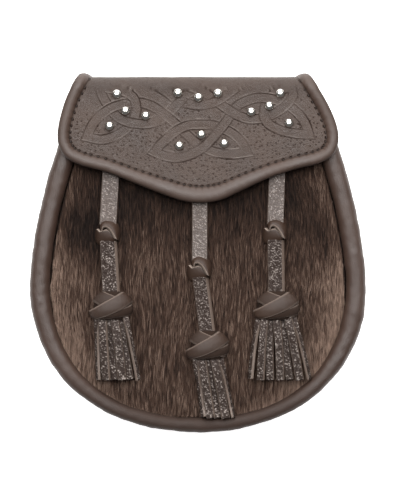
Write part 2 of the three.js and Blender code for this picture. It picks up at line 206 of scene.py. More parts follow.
def ripple(points, size, seed, stretch=(1, 1, 1)):
    """Smooth noise near -1 to 1: the sum of 24 sine waves in random directions, with lengths
    near size, longer along the axes where stretch is over 1."""
    random = np.random.default_rng(seed)
    ways = unit(random.normal(size=(24, 3))) / np.array(stretch)
    ways *= (2 * np.pi / size) * random.uniform(0.6, 1.5, (24, 1))
    phase = random.uniform(0, 2 * np.pi, 24)
    return np.sin(points @ ways.T + phase).sum(-1) / 24**0.5


def grid_faces(rows, columns, wrap_rows=False, wrap_columns=False):
    """The quads of a grid of points, each as four point numbers."""
    i, j = np.meshgrid(
        np.arange(rows if wrap_rows else rows - 1),
        np.arange(columns if wrap_columns else columns - 1),
        indexing="ij",
    )
    below, beside = (i + 1) % rows, (j + 1) % columns
    corners = [i * columns + j, below * columns + j, below * columns + beside]
    return np.stack([*corners, i * columns + beside], -1).reshape(-1, 4)


def closed(vertices, faces, marks):
    """A body: its vertices, its faces by corner count, its marks. Its faces are turned to
    point outwards, which the sign of its volume tells."""
    volume = 0
    for group in faces:
        first = vertices[group[:, 0]]
        for k in range(1, group.shape[1] - 1):
            across = np.cross(vertices[group[:, k]], vertices[group[:, k + 1]])
            volume += np.einsum("ij,ij->", first, across)
    if volume < 0:
        faces = [group[:, ::-1] for group in faces]
    return vertices, faces, marks


def roll(points, **marks):
    """A closed body from rings of points: quads from ring to ring, a fan over each end."""
    rings, places, _ = points.shape
    vertices = np.vstack([points.reshape(-1, 3), points[[0, -1]].mean(axis=1)])
    here = np.arange(places)
    after = (here + 1) % places
    start, end = (np.full(places, rings * places + k) for k in (0, 1))
    last = (rings - 1) * places
    fans = [np.stack([start, here, after], 1), np.stack([end, last + after, last + here], 1)]
    faces = [grid_faces(rings, places, wrap_columns=True), np.vstack(fans)]
    full = {
        key: np.r_[np.broadcast_to(value, (rings, places)).ravel(), 0, 0]
        for key, value in marks.items()
    }
    return closed(vertices, faces, full)


def carry(section, centre, up=(0, 0, 1), turn=0.0):
    """Rings of a section carried along a path. The section's x lies across the path and its
    y along up, both turned round the path by turn."""
    ahead = unit(np.gradient(centre, axis=0))
    across = unit(np.cross(np.broadcast_to(up, centre.shape), ahead))
    away = np.cross(ahead, across)
    cos, sin = (np.reshape(f(turn), (-1, 1)) for f in (np.cos, np.sin))
    across, away = across * cos + away * sin, away * cos - across * sin
    x, y = np.broadcast_to(section, (len(centre), *section.shape[-2:])).transpose(2, 0, 1)
    flat = centre[:, None] + across[:, None] * x[..., None]
    return flat + away[:, None] * y[..., None]


def new_piece(name, bodies, material, slot, *stands_for, smooth_shaded=True):
    """Joins bodies into one mesh piece that rides with the pouch and stands for CAD nodes."""
    mesh = bpy.data.meshes.new(name)
    offsets = np.cumsum([0, *[len(vertices) for vertices, _, _ in bodies]])
    groups = [g + o for (_, faces, _), o in zip(bodies, offsets) for g in faces]
    corners = np.concatenate([group.ravel() for group in groups])
    counts = np.concatenate([np.full(len(group), group.shape[1]) for group in groups])
    mesh.vertices.add(offsets[-1])
    places = np.vstack([vertices for vertices, _, _ in bodies]) * MM
    mesh.vertices.foreach_set("co", places.astype(np.float32).ravel())
    mesh.loops.add(len(corners))
    mesh.loops.foreach_set("vertex_index", corners.astype(np.int32))
    mesh.polygons.add(len(counts))
    starts = np.r_[0, np.cumsum(counts)[:-1]]
    mesh.polygons.foreach_set("loop_start", starts.astype(np.int32))
    mesh.polygons.foreach_set("use_smooth", np.full(len(counts), smooth_shaded))
    mesh.update(calc_edges=True)
    for key in bodies[0][2]:
        values = np.concatenate([marks[key] for _, _, marks in bodies])
        mark = mesh.attributes.new(key, "FLOAT", "POINT")
        mark.data.foreach_set("value", values.astype(np.float32))
    mesh.materials.append(material)
    piece = bpy.data.objects.new(name, mesh)
    bpy.context.scene.collection.objects.link(piece)
    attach(piece, "root")
    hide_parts(*stands_for)
    return piece


def coordinates(material):
    return add_node(material, "ShaderNodeTexCoord").outputs["Object"]


def noise(material, place, size, detail):
    """Soft noise, its patches about size millimetres across."""
    inputs = {"Vector": place, "Scale": 1 / (size * MM), "Detail": detail}
    return add_node(material, "ShaderNodeTexNoise", inputs).outputs["Fac"]


def blend(material, share, first, second):
    """The colour that lies share of the way from first to second."""
    inputs = {"Fac": share, "Color1": first, "Color2": second}
    return add_node(material, "ShaderNodeMixRGB", inputs).outputs[0]


def times_plus(material, value, factor, plus):
    """value times factor, plus plus."""
    inputs = {0: value, 1: factor, 2: plus}
    return add_node(material, "ShaderNodeMath", inputs, operation="MULTIPLY_ADD").outputs[0]


def ranged(material, value, from_low, from_high, to_low, to_high):
    """value carried from one range to another, and held at its ends."""
    ends = {"From Min": from_low, "From Max": from_high, "To Min": to_low, "To Max": to_high}
    return add_node(material, "ShaderNodeMapRange", {"Value": value, **ends}).outputs[0]


def mark_of(material, name):
    """The mesh's mark of that name, which is 0 where it has none."""
    return add_node(material, "ShaderNodeAttribute", attribute_name=name).outputs["Fac"]


# pressed marks and painted shade darken towards the first colour; painted highlights and painted
# sheen pale towards the second
PRESSED_AND_SHADE_COLOUR, PAINTED_HIGHLIGHT_COLOUR = linear("20150f"), linear("978c85")


def leather(name, dark, light, grain, depth, roughness, raw="a08d80", gloss=0.5):
    """Full-grain cowhide. Colour drifts from dark to light in soft patches; pebbles of grain
    grain millimetres across stand depth high. A mark called raw shows the pale cut edge. A
    second mark darkens and dulls what is pressed or stitched in, and also carries painted
    shade in creases and on sides turned from the lamps. The mark called lip is painted
    highlight and painted sheen."""
    material = new_material(name)
    place = coordinates(material)
    sunk = mark_of(material, "sunk")
    patches = noise(material, place, 22, 5.0)
    colour = blend(material, patches, linear(dark), linear(light))
    colour = blend(material, sunk, colour, PRESSED_AND_SHADE_COLOUR)
    painted_highlight = times_plus(material, mark_of(material, "lip"), 0.3, 0.0)
    colour = blend(material, painted_highlight, colour, PAINTED_HIGHLIGHT_COLOUR)
    colour = blend(material, mark_of(material, "raw"), colour, linear(raw))
    pebbles = add_node(
        material, "ShaderNodeTexVoronoi",
        {"Vector": place, "Scale": 1 / (grain * MM), "Randomness": 1.0},
        feature="DISTANCE_TO_EDGE",
    )
    crests = ranged(material, pebbles.outputs["Distance"], 0.0, 0.25, 0.0, 1.0)
    relief = times_plus(material, noise(material, place, grain / 3, 3.0), 1.0, crests)
    bump = add_node(
        material, "ShaderNodeBump", {"Height": relief, "Distance": depth * MM, "Strength": 1.0}
    )
    dullness = ranged(material, patches, 0.3, 0.7, roughness - 0.06, roughness + 0.06)
    surface(
        material,
        base_color=colour,
        roughness=times_plus(material, sunk, 0.45, dullness),
        specular_ior_level=times_plus(material, sunk, -0.6 * gloss, gloss),
        normal=bump.outputs[0],
    )
    return material


# Waxed and drum-dyed cowhide: nearly black-brown, with a soft grey sheen under a wide light.
welt_leather = leather("cowhide_welt_waxed", "2e2019", "423027", 1.1, 0.05, 0.5)


def welt_width(y):
    """Width of the front welt, which is slimmer round the bottom."""
    return mix(8.7, 12.0, smooth(y, -104, -45))


def oval(places, power=2.0):
    """A closed superellipse of half-axes 1, widest across x, walked from its right side."""
    angle = np.linspace(0, 2 * np.pi, places, endpoint=False)
    round_off = [np.sign(f(angle)) * abs(f(angle)) ** (2 / power) for f in (np.cos, np.sin)]
    return np.stack(round_off, 1)


def end_taper(count, length, reach):
    """Scale of each section of a roll, 1 but for its two ends, which round off over reach."""
    along = np.linspace(0, length, count)
    near = np.minimum(along, length - along) / reach
    return np.sqrt(1 - np.clip(1 - near, 0, 1) ** 2).clip(0.08)


def welt(count, places, half_width, half_height, inset, centre_z, top_y, seed):
    """Rings of a sewn roll round the pouch, puckered across its length."""
    edge, outward = pouch_edge(top_y, count)
    half = half_width(edge[:, 1])
    middle = np.c_[edge - outward * (half + inset)[:, None], np.full(count, centre_z)]
    section = oval(places, 2.25) * np.stack([half, np.full(count, half_height)], 1)[:, None]
    section = section * end_taper(count, 620, 5)[:, None, None]
    rings = carry(section, middle)
    puckers = ripple(rings, 7, seed, stretch=(1, 1, 3)) * 0.10
    waves = ripple(rings, 30, seed + 1) * 0.18
    centre = middle[:, None]
    return rings + unit(rings - centre) * (puckers + waves)[..., None]


front_welt_rings = welt(
    520, 40, lambda y: welt_width(y) / 2, WELT_HEIGHT / 2, 0.0,
    WELT_TOP_Z - WELT_HEIGHT / 2, BODY_TOP_Y - 1.5, 11,
)
# painted shade: the welt is darkest round the bottom, which faces away from the lamps
front_welt_painted_shade = 0.42 * smooth(-front_welt_rings[..., 1], 60, 104)
new_piece(
    "front_welt_roll", [roll(front_welt_rings, sunk=front_welt_painted_shade)], welt_leather,
    "welt_leather", "front_welt",
)

# ---- side wall ------------------------------------------------------------------------------
# A strip of the same cowhide runs round the pouch between its two welts, on edge. It gives
# a little between its seams.
BACK_FACE_Z, BACK_THICK = 8.5, 2.8
GUSSET_INSET, LEATHER = 3.2, 2.4
# how far its edges are sewn in among each welt
SEWN_IN = {"back": 2.2, "front": 1.6}


def gusset_body():
    """A box section carried round the pouch, its long sides bowed out half a millimetre."""
    count, places = 420, 8
    edge, outward = pouch_edge(BODY_TOP_Y, count)
    low = BACK_FACE_Z - SEWN_IN["back"]
    high = WELT_TOP_Z - WELT_HEIGHT + SEWN_IN["front"]
    middle = edge - outward * (GUSSET_INSET + LEATHER / 2)
    middle = np.c_[middle, np.full(count, (low + high) / 2)]
    up = np.linspace(-1, 1, places) * (high - low) / 2
    bow = 0.4 * np.cos(np.linspace(-1, 1, places) * np.pi / 2)
    outer = np.stack([LEATHER / 2 - 0.3 + bow, up], 1)
    inner = np.stack([np.full(places, -LEATHER / 2), up[::-1]], 1)
    rings = carry(np.vstack([outer, inner]), middle)
    sway = ripple(rings, 24, 21) * 0.15
    sides = np.c_[outward, np.zeros(count)][:, None]
    return roll(rings + sides * sway[..., None])


new_piece("side_wall", [gusset_body()], welt_leather, "welt_leather", "gusset")

# ---- back: welt, panel, belt loops ------------------------------------------------------------
# The back is one plain panel of firmer hide inside a rounder welt, which is pressed flat where
# the pouch lies. Two belt loops are sewn to it.
BACK_WELT_WIDTH, BACK_WELT_HEIGHT = 9.0, 8.1


def back_welt_body():
    """The welt's roll with its lowest tenth pressed flat on the table."""
    rings = welt(
        300, 24, lambda y: np.full(y.shape, BACK_WELT_WIDTH / 2), BACK_WELT_HEIGHT / 2, 0.5,
        BACK_WELT_HEIGHT / 2, BODY_TOP_Y - 1.5, 31,
    )
    low, high = rings[..., 2].min(), rings[..., 2].max()
    rings[..., 2] = (rings[..., 2] - low) * (BACK_WELT_HEIGHT / (high - low))
    flat = 0.45
    rings[..., 2] = np.where(rings[..., 2] < flat, rings[..., 2] * 0.1, rings[..., 2] - flat * 0.9)
    return roll(rings)


new_piece("back_welt_roll", [back_welt_body()], welt_leather, "welt_leather", "back_welt")


def panel_outline(top_y, inset, count):
    """The edge of a panel inset from the pouch's edge, with a straight top at top_y."""
    edge, outward = pouch_edge(BODY_TOP_Y, count)
    moved = edge - outward * inset(edge[:, 1])[:, None]
    sides = moved[moved[:, 1] < top_y]
    corner = float(body_half_width(top_y) - 1.09 * inset(np.array([top_y]))[0])
    across = np.linspace(corner, -corner, 60)
    return np.vstack([sides, np.stack([across, np.full(60, top_y)], 1)])


def plate_body(outline, rings, upper_z, lower_z):
    """A closed plate: rings of the outline shrunk towards its middle, laid at upper_z(x, y),
    over the same rings at lower_z(x, y)."""
    shares = np.linspace(0, 1, rings)[1:]
    points = outline[None] * shares[:, None, None]
    upper = np.dstack([points, upper_z(points[..., 0], points[..., 1])])
    lower = np.dstack([points, lower_z(points[..., 0], points[..., 1])])
    return roll(np.vstack([upper, lower[::-1]]))


def flat_at(z):
    """A face at one height, for plate_body."""
    return lambda x, y: np.full(np.shape(x), float(z))


# Firm vegetable-tanned hide, matt on its outer face.
back_leather = leather("cowhide_back_firm", "2e2019", "45332a", 0.9, 0.04, 0.6)
back_inset = GUSSET_INSET + LEATHER + 0.3
back_outline = panel_outline(BODY_TOP_Y - 1, lambda y: np.full(np.shape(y), back_inset), 240)
back_top = BACK_FACE_Z + BACK_THICK


def back_under(x, y):
    """The panel's outer face, hollowed by a few tenths between its seams."""
    away = 1 - np.clip(np.hypot(x / 95, (y + 5) / 100), 0, 1)
    return BACK_FACE_Z + 0.5 * smooth(away, 0, 0.5)


new_piece(
    "back_panel_hide",
    [plate_body(back_outline, 16, flat_at(back_top), back_under)],
    back_leather, "back_leather", "back_panel",
)

LOOP = {"x": 44, "width": 26, "bottom": 26, "top": 76, "pad": 9, "rise": 6, "slot": 5}


def strip_section(width, thick, left=0.3, right=0.3, across=14):
    """A strap's section and the marks of its cut edges: flat faces between two skived edges
    that slope over left and right millimetres, each corner kept crisp by a second point."""
    half, up, tight = width / 2, thick / 2, 0.12
    top = np.linspace(-half + left + tight, half - right - tight, across)
    slope = np.linspace(0.06, 0.94, 4)
    right_edge = np.stack([half - right + slope * right, up - slope * thick], 1)
    left_edge = np.stack([-half + left - slope * left, up - slope * thick], 1)[::-1]
    under = np.linspace(half - tight, -half + tight, across)
    points = np.vstack([
        np.stack([top, np.full(across, up)], 1),
        right_edge,
        np.stack([under, np.full(across, -up)], 1),
        left_edge,
    ])
    raw = np.r_[np.zeros(across), np.ones(4), np.zeros(across), np.ones(4)]
    return points, raw


def belt_loop_body(x):
    """The loop's strap from its upper pad down: its middle stands away from the panel."""
    y = np.linspace(LOOP["top"], LOOP["bottom"], 120)
    on_panel = BACK_FACE_Z - 0.3 - LEATHER / 2
    out = smooth(y, LOOP["bottom"] + LOOP["pad"], LOOP["bottom"] + LOOP["pad"] + LOOP["rise"])
    back = 1 - smooth(y, LOOP["top"] - LOOP["pad"] - LOOP["rise"], LOOP["top"] - LOOP["pad"])
    centre = np.stack([np.full(120, x), y, on_panel - (LOOP["slot"] - 0.3) * out * back], 1)
    section, raw = strip_section(LOOP["width"], LEATHER, across=24)
    rings = carry(section, centre)
    return roll(rings + ripple(rings, 9, 41)[..., None] * (0, 0, 0.05), raw=raw)


for side, x in (("left", -LOOP["x"]), ("right", LOOP["x"])):
    new_piece(
        f"belt_loop_{side}_strap", [belt_loop_body(x)], back_leather, "back_leather",
        f"belt_loop_{side}",
    )


def stitch_body(start, end, thick, sink):
    """One stitch: a thread that dips at both ends into its holes. start and end are its
    ends, and its middle stands sink above them."""
    along = np.linspace(0, 1, 7)
    centre = start + (end - start) * along[:, None]
    centre = centre + np.array([0, 0, 1.0]) * (np.sin(np.pi * along) * sink)[:, None]
    full = (0.45 + 0.55 * np.sin(np.pi * along)) * thick / 2
    return roll(carry(oval(6) * full[:, None, None], centre))


def stitch_row(path, pitch, length, thick, sink, slant=0.0, walked=None):
    """Stitches along a path of points, pitch apart, each slanted across it by slant. walked
    is the length come at each point, if it isn't counted along the path itself."""
    steps = np.linalg.norm(np.diff(path, axis=0), axis=1)
    walked = np.r_[0, np.cumsum(steps)] if walked is None else walked
    middles = np.arange(pitch / 2, walked[-1], pitch)
    place = np.stack([np.interp(middles, walked, column) for column in path.T], 1)
    ahead = unit(np.stack([np.interp(middles + 0.5, walked, c) for c in path.T], 1) - place)
    across = np.stack([ahead[:, 1], -ahead[:, 0], np.zeros(len(place))], 1)
    half = ahead * length / 2 + across * slant
    return [stitch_body(a, b, thick, sink) for a, b in zip(place - half, place + half)]


# Waxed linen thread, dark brown: a row of small blunt ridges with a dull shine.
thread = new_material("linen_thread_waxed")
twist = add_node(
    thread, "ShaderNodeTexWave",
    {"Vector": coordinates(thread), "Scale": 1 / (1.2 * MM), "Distortion": 2.0},
).outputs["Fac"]
thread_bump = add_node(thread, "ShaderNodeBump", {"Height": twist, "Distance": 0.05 * MM})
thread_colour = blend(thread, twist, linear("150d09"), linear("2c1d15"))
surface(thread, base_color=thread_colour, roughness=0.5, normal=thread_bump.outputs[0])


def loop_stitches(x, y_low, y_high):
    """A closed box of stitches round one pad of a belt loop, on its outer face."""
    z = BACK_FACE_Z - 0.3 - LEATHER - 0.05
    half = LOOP["width"] / 2 - 2.2
    corners = np.array([
        (x - half, y_low, z), (x + half, y_low, z), (x + half, y_high, z),
        (x - half, y_high, z), (x - half, y_low, z),
    ])
    return [
        body for a, b in zip(corners[:-1], corners[1:])
        for body in stitch_row(np.linspace(a, b, 20), 3.0, 2.2, 0.8, -0.35)
    ]


back_stitches = []
for x in (-LOOP["x"], LOOP["x"]):
    back_stitches += loop_stitches(x, LOOP["bottom"] + 2, LOOP["bottom"] + LOOP["pad"] - 1.5)
    back_stitches += loop_stitches(x, LOOP["top"] - LOOP["pad"] + 1.5, LOOP["top"] - 2)
new_piece("belt_loop_stitches", back_stitches, thread, "back_leather")

# ---- the hide and its hair ---------------------------------------------------------------------
# The front is calf hide with the hair left on, lying down the pouch. Single hairs fall in
# narrow locks, darker under the flap and in two soft spots, paler towards the welt.
FRONT_EDGE_Z, FRONT_THICK, FRONT_TOP_Y = 29.2, 3.4, 92.0
CROWN = {"height": 4.2, "y": -25, "up": 122, "down": 75, "power": 0.7}
HAIR_DEPTH = 2.3
HAIRS = 30000
HAIR_LENGTH, HAIR_HALF_WIDTH = (4.3, 8.0), (0.17, 0.36)
LOCK_WIDE, LOCK_LONG = 0.66, 4.6
LOWEST_TIP_Y = -98.9
DARK_SPOTS = [
    # how much darker, x, y, how wide, how tall
    (0.46, -68, 16, 13, 16),
    (0.42, 76, 13, 12, 14),
]


def front_z(x, y):
    """Height of the lying hair: the edge's height, and a crown that fades each way as a
    power of two parabolas."""
    along = (y - CROWN["y"]) / np.where(y > CROWN["y"], CROWN["up"], CROWN["down"])
    across = x / (body_half_width(y) - 10)
    crown = np.maximum(0, 1 - across**2) * np.maximum(0, 1 - along**2)
    return FRONT_EDGE_Z + CROWN["height"] * crown ** CROWN["power"]


hide_skin = leather("calf_hide_skin", "1d130e", "2c1e17", 1.5, 0.05, 0.8)
hide_outline = panel_outline(FRONT_TOP_Y, lambda y: welt_width(y) + 0.4, 240)
new_piece(
    "hide_skin",
    [plate_body(
        hide_outline, 16,
        lambda x, y: front_z(x, y) - HAIR_DEPTH,
        lambda x, y: front_z(x, y) - FRONT_THICK,
    )],
    hide_skin, "hair_on_hide", "front_panel",
)

# The hairs are needles of brown keratin: a dull sheen, each a little lighter towards its tip.
hair_material = new_material("calf_hair_natural_brown")
hair_ramp = add_node(hair_material, "ShaderNodeValToRGB", {"Fac": mark_of(hair_material, "tone")})
ramp_stops = hair_ramp.color_ramp.elements
ramp_stops[0].color, ramp_stops[1].color = linear("170e0a"), linear("8e786a")
ramp_stops.new(0.5).color = linear("4a372d")
surface(hair_material, base_color=hair_ramp.outputs["Color"], roughness=0.55)

FLAP_EDGE_TOP_Y, FLAP_POINT_Y = 63.3, 29.6


def under_flap_y(x):
    """Height up to which hair is laid: a little way in under the flap's lower edge."""
    return mix(FLAP_POINT_Y, FLAP_EDGE_TOP_Y, smooth(abs(x), 0, 80)) + 10


def spot(x, y, at_x, at_y, wide, tall):
    """A soft round spot: 1 at its middle, falling as a bell curve."""
    return np.exp(-(((x - at_x) / wide) ** 2) - ((y - at_y) / tall) ** 2)


def hair_piece(name, low_x, high_x, count, seed):
    """One field of hair between two values of x: count needles of four faces, each rooted in
    the hide and swept down the pouch with its lock."""
    random = np.random.default_rng(seed)
    x = random.uniform(low_x, high_x, count * 3)
    y = random.uniform(WAIST_Y - BOWL_DEPTH, 80, count * 3)
    rim = body_half_width(y) - welt_width(y) * 1.06 - 0.2
    inside = (abs(x) < rim) & (y < under_flap_y(x))
    x, y = x[inside][:count], y[inside][:count]
    places = np.c_[x, y, np.zeros(len(x))]

    # locks: cells of a slanted lattice, each with its own lean, lift and tone
    warp = ripple(places, 18, 71, stretch=(1, 2, 1)) * 2.0
    column = np.floor((x + warp) / LOCK_WIDE + ripple(places, 9, 72, stretch=(1, 3, 1)) * 0.5)
    row = np.floor(y / LOCK_LONG + (column * 0.618) % 1)
    lock = ((column * 73856093) + (row * 19349663)).astype(np.int64) % 4096
    lock_tone = random.permutation(np.linspace(-1, 1, 4096))[lock]
    lock_lean = random.permutation(np.linspace(-1, 1, 4096))[lock]
    lock_x = (column + 0.5) * LOCK_WIDE - warp

    # each hair's root and tip
    length = random.uniform(*HAIR_LENGTH, len(x))
    sweep = ripple(places, 45, 73) * 0.08 + lock_lean * 0.06 + random.normal(0, 0.02, len(x))
    way = np.stack([np.sin(sweep), -np.cos(sweep)], 1)
    tip = np.stack([x, y], 1) + way * length[:, None]
    tip[:, 0] += np.clip(lock_x - x, -1.5, 1.5) * 0.7
    # hair never crosses the welt: tips past the rim are drawn back
    tip_rim = body_half_width(np.clip(tip[:, 1], WAIST_Y - BOWL_DEPTH + 9.5, 99))
    tip_rim = tip_rim - welt_width(tip[:, 1]) * 0.90
    tip[:, 0] = np.clip(tip[:, 0], -tip_rim, tip_rim)
    tip[:, 1] = np.maximum(tip[:, 1], LOWEST_TIP_Y)
    lift = random.beta(2.0, 1.6, len(x)) + 0.2 * lock_tone
    root_z = front_z(x, y) - HAIR_DEPTH - 0.1
    tip_z = front_z(tip[:, 0], np.clip(tip[:, 1], -99, 90)) - HAIR_DEPTH + HAIR_DEPTH * lift
    half = random.uniform(*HAIR_HALF_WIDTH, len(x))[:, None]
    side = np.stack([-way[:, 1], way[:, 0]], 1) * half
    root = np.stack([x, y], 1)
    up_z = root_z + 0.35
    vertices = np.stack([
        np.c_[root - side, root_z], np.c_[root + side, root_z], np.c_[root, up_z],
        np.c_[tip, tip_z],
    ], 1)
    number = (np.arange(len(x)) * 4)[:, None]
    # corners: left root, right root, top root, tip; each face is seen from outside
    faces = np.concatenate([number + np.array(f) for f in
                            ((0, 2, 1), (0, 3, 2), (1, 2, 3), (0, 1, 3))])

    # its tone: broad patches, streaks, a pale rim, dark spots and the flap's shade
    patches = ripple(places, 40, 74, stretch=(1, 1.6, 1)) * 0.05
    streaks = ripple(places, 4, 75, stretch=(1, 6, 1)) * 0.05
    hair_rim = rim[inside][:count]
    near_rim = 0.15 * smooth(abs(x), hair_rim - 28, hair_rim - 6)
    near_rim = near_rim * (1 + 0.8 * (x > 0)) + 0.24 * smooth(abs(x), hair_rim - 11, hair_rim)
    dark = sum(depth * spot(x, y, *place) for depth, *place in DARK_SPOTS)
    shade = smooth(y, -5, 45) * 0.36
    tone = 0.40 + patches + streaks + near_rim - dark - shade + lock_tone * 0.22
    tone = tone + random.normal(0, 0.12, len(x)) + 0.08 * smooth(-y, 0, 80)
    root_to_tip = (-0.16, -0.16, -0.12, 0.10)
    marks = (tone[:, None] + root_to_tip).clip(0, 1)
    body = (vertices.reshape(-1, 3), [faces], {"tone": marks.ravel()})
    piece = new_piece(name, [body], hair_material, "hair_on_hide", smooth_shaded=False)
    lay_out_flat(piece)
    return piece


def lay_out_flat(piece):
    """A UV map that looks straight down on the piece, so that neighbours share a colour."""
    mesh = piece.data
    places = np.zeros(len(mesh.vertices) * 3, np.float32)
    mesh.vertices.foreach_get("co", places)
    flat = places.reshape(-1, 3)[:, :2]
    flat = (flat - flat.min(0)) / (flat.max(0) - flat.min(0))
    corners = np.zeros(len(mesh.loops), np.int32)
    mesh.loops.foreach_get("vertex_index", corners)
    layout = mesh.uv_layers.new(name="OFBake")
    layout.data.foreach_set("uv", flat[corners].ravel())


for name, low_x, high_x, seed in (
    ("hair_left", -100, -31, 61), ("hair_middle", -31, 31, 62), ("hair_right", 31, 100, 63),
):
    hair_piece(name, low_x, high_x, HAIRS, seed)

# ---- the flap ------------------------------------------------------------------------------------
# One piece of cowhide lies on the front, turns over the top and is sewn to the back. Knots of
# eight bands, which pass over and under, are embossed on it with a modelling tool, and the
# ground round them is stippled with a round punch.
FLAP_Z, FLAP_TOP_Y, FOLD_RADIUS = 38.6, 104.2, 7.0
FOLD_START = FLAP_TOP_Y - FOLD_RADIUS
ARC = FOLD_RADIUS * np.pi / 2
TAIL = {"half": 56.0, "length": 15.0, "z": BACK_FACE_Z - 0.3 - LEATHER / 2}
FOLD_FLAT = FLAP_Z - TAIL["z"] - 2 * FOLD_RADIUS
FLAP_END = FOLD_START + 2 * ARC + FOLD_FLAT + TAIL["length"]
FLAP_LEAN = {"x": -2.4, "low": 68.0, "high": 108.0}
PIPING = {"side": 7.2, "point": 9.4, "height": 6.4, "lift": 0.4, "past": 18.0, "end": 67.8}
FLAP_SIDE = np.array([
    # y, half width
    (70, 83.8), (77, 82.7), (84.3, 80.4), (91.5, 77.4), (98.7, 73.6), (106, 69.6), (113, 68.2),
    (FOLD_START + ARC + PIPING["past"], PIPING["end"]),
])
FLAP_EDGE = np.array([
    # x, y from the left corner through the point to the right corner
    (-82.9, 63.3), (-78.9, 56.9), (-70.6, 52.3), (-54.6, 47.9), (-38.4, 41.5), (-22.4, 35.2),
    (-9.6, 30.9), (1, 29.6), (13, 31.1), (25.8, 36.7), (42, 44.2), (58, 49.6), (72.5, 53.3),
    (79.9, 57.6), (83.2, 63.6),
])


def through(points, steps):
    """A centripetal Catmull-Rom curve through points, steps to a span."""
    padded = np.vstack([2 * points[0] - points[1], points, 2 * points[-1] - points[-2]])
    p0, p1, p2, p3 = padded[:-3], padded[1:-2], padded[2:-1], padded[3:]
    d0, d1, d2 = (np.linalg.norm(b - a, axis=1)[:, None] ** 0.5
                  for a, b in ((p0, p1), (p1, p2), (p2, p3)))
    leave = ((p1 - p0) / d0 - (p2 - p0) / (d0 + d1) + (p2 - p1) / d1) * d1
    arrive = ((p2 - p1) / d1 - (p3 - p1) / (d1 + d2) + (p3 - p2) / d2) * d1
    t = np.linspace(0, 1, steps, endpoint=False)[None, :, None]
    p1, p2, leave, arrive = (a[:, None] for a in (p1, p2, leave, arrive))
    curve = ((2 * t**3 - 3 * t**2 + 1) * p1 + (t**3 - 2 * t**2 + t) * leave
             + (3 * t**2 - 2 * t**3) * p2 + (t**3 - t**2) * arrive)
    return np.vstack([curve.reshape(-1, points.shape[1]), points[-1]])


def flap_lean(t):
    """How far the flap's middle stands to the right of the pouch's, which is more to the left
    from halfway up to its fold."""
    return FLAP_LEAN["x"] * smooth(t, FLAP_LEAN["low"], FLAP_LEAN["high"])


side_y, side_half = FLAP_SIDE.T
left_side = np.stack([flap_lean(side_y) - side_half, side_y], 1)[::-1]
right_side = np.stack([flap_lean(side_y) + side_half, side_y], 1)
flap_outline = through(np.vstack([left_side, FLAP_EDGE, right_side]), 60)


def on_flap(x, t, off):
    """A place on the flap: x across it, t along the leather (y until it turns), off the
    height over its middle: flat, a quarter turn, flat over the top, a quarter turn, flat."""
    x, t, off = np.broadcast_arrays(np.asarray(x, float), t, off)
    first = np.clip(t - FOLD_START, 0, ARC) / FOLD_RADIUS
    second = np.clip(t - FOLD_START - ARC - FOLD_FLAT, 0, ARC) / FOLD_RADIUS
    over = np.clip(t - FOLD_START - ARC, 0, FOLD_FLAT)
    tail = np.maximum(t - FOLD_START - 2 * ARC - FOLD_FLAT, 0)
    angle = first + second
    # the middle of the leather, then out along the way its outer face looks
    y = np.minimum(t, FOLD_START) + FOLD_RADIUS * (np.sin(first) - 1 + np.cos(second)) - tail
    z = FLAP_Z - FOLD_RADIUS * (1 - np.cos(first)) - over - FOLD_RADIUS * np.sin(second)
    return np.stack([x, y + off * np.sin(angle), z + off * np.cos(angle)], -1)


def piping_width(x, y):
    """Width of the rolled edge: full at the flap's point, slimmer up its sides."""
    away = np.hypot(x, (y - 30) * 1.3)
    return mix(PIPING["point"], PIPING["side"], smooth(away, 4, 60))


outline_points, outline_out = even(flap_outline, 1200)
seam_width = piping_width(outline_points[:, 0], outline_points[:, 1])
seam_line = outline_points - outline_out * seam_width[:, None]
outline_steps = np.linalg.norm(np.diff(outline_points, axis=0), axis=1)
outline_walked = np.r_[0, np.cumsum(outline_steps)]
# the leather runs on under its rolled edge
inner_width = seam_width - 1.6
flap_inner = outline_points - outline_out * inner_width[:, None]
widest, narrowest = flap_inner[:, 0].argmax(), flap_inner[:, 0].argmin()
inner_side, inner_lower = flap_inner[widest:], flap_inner[narrowest : widest + 1]


def flap_half_width(t):
    """Half the leather's width along it, which narrows to the tail behind the pouch."""
    side = np.interp(t, inner_side[:, 1], inner_side[:, 0]) - flap_lean(t)
    on_back = FOLD_START + ARC + FOLD_FLAT
    return mix(side, TAIL["half"], smooth(t, on_back - 6, on_back + 3))


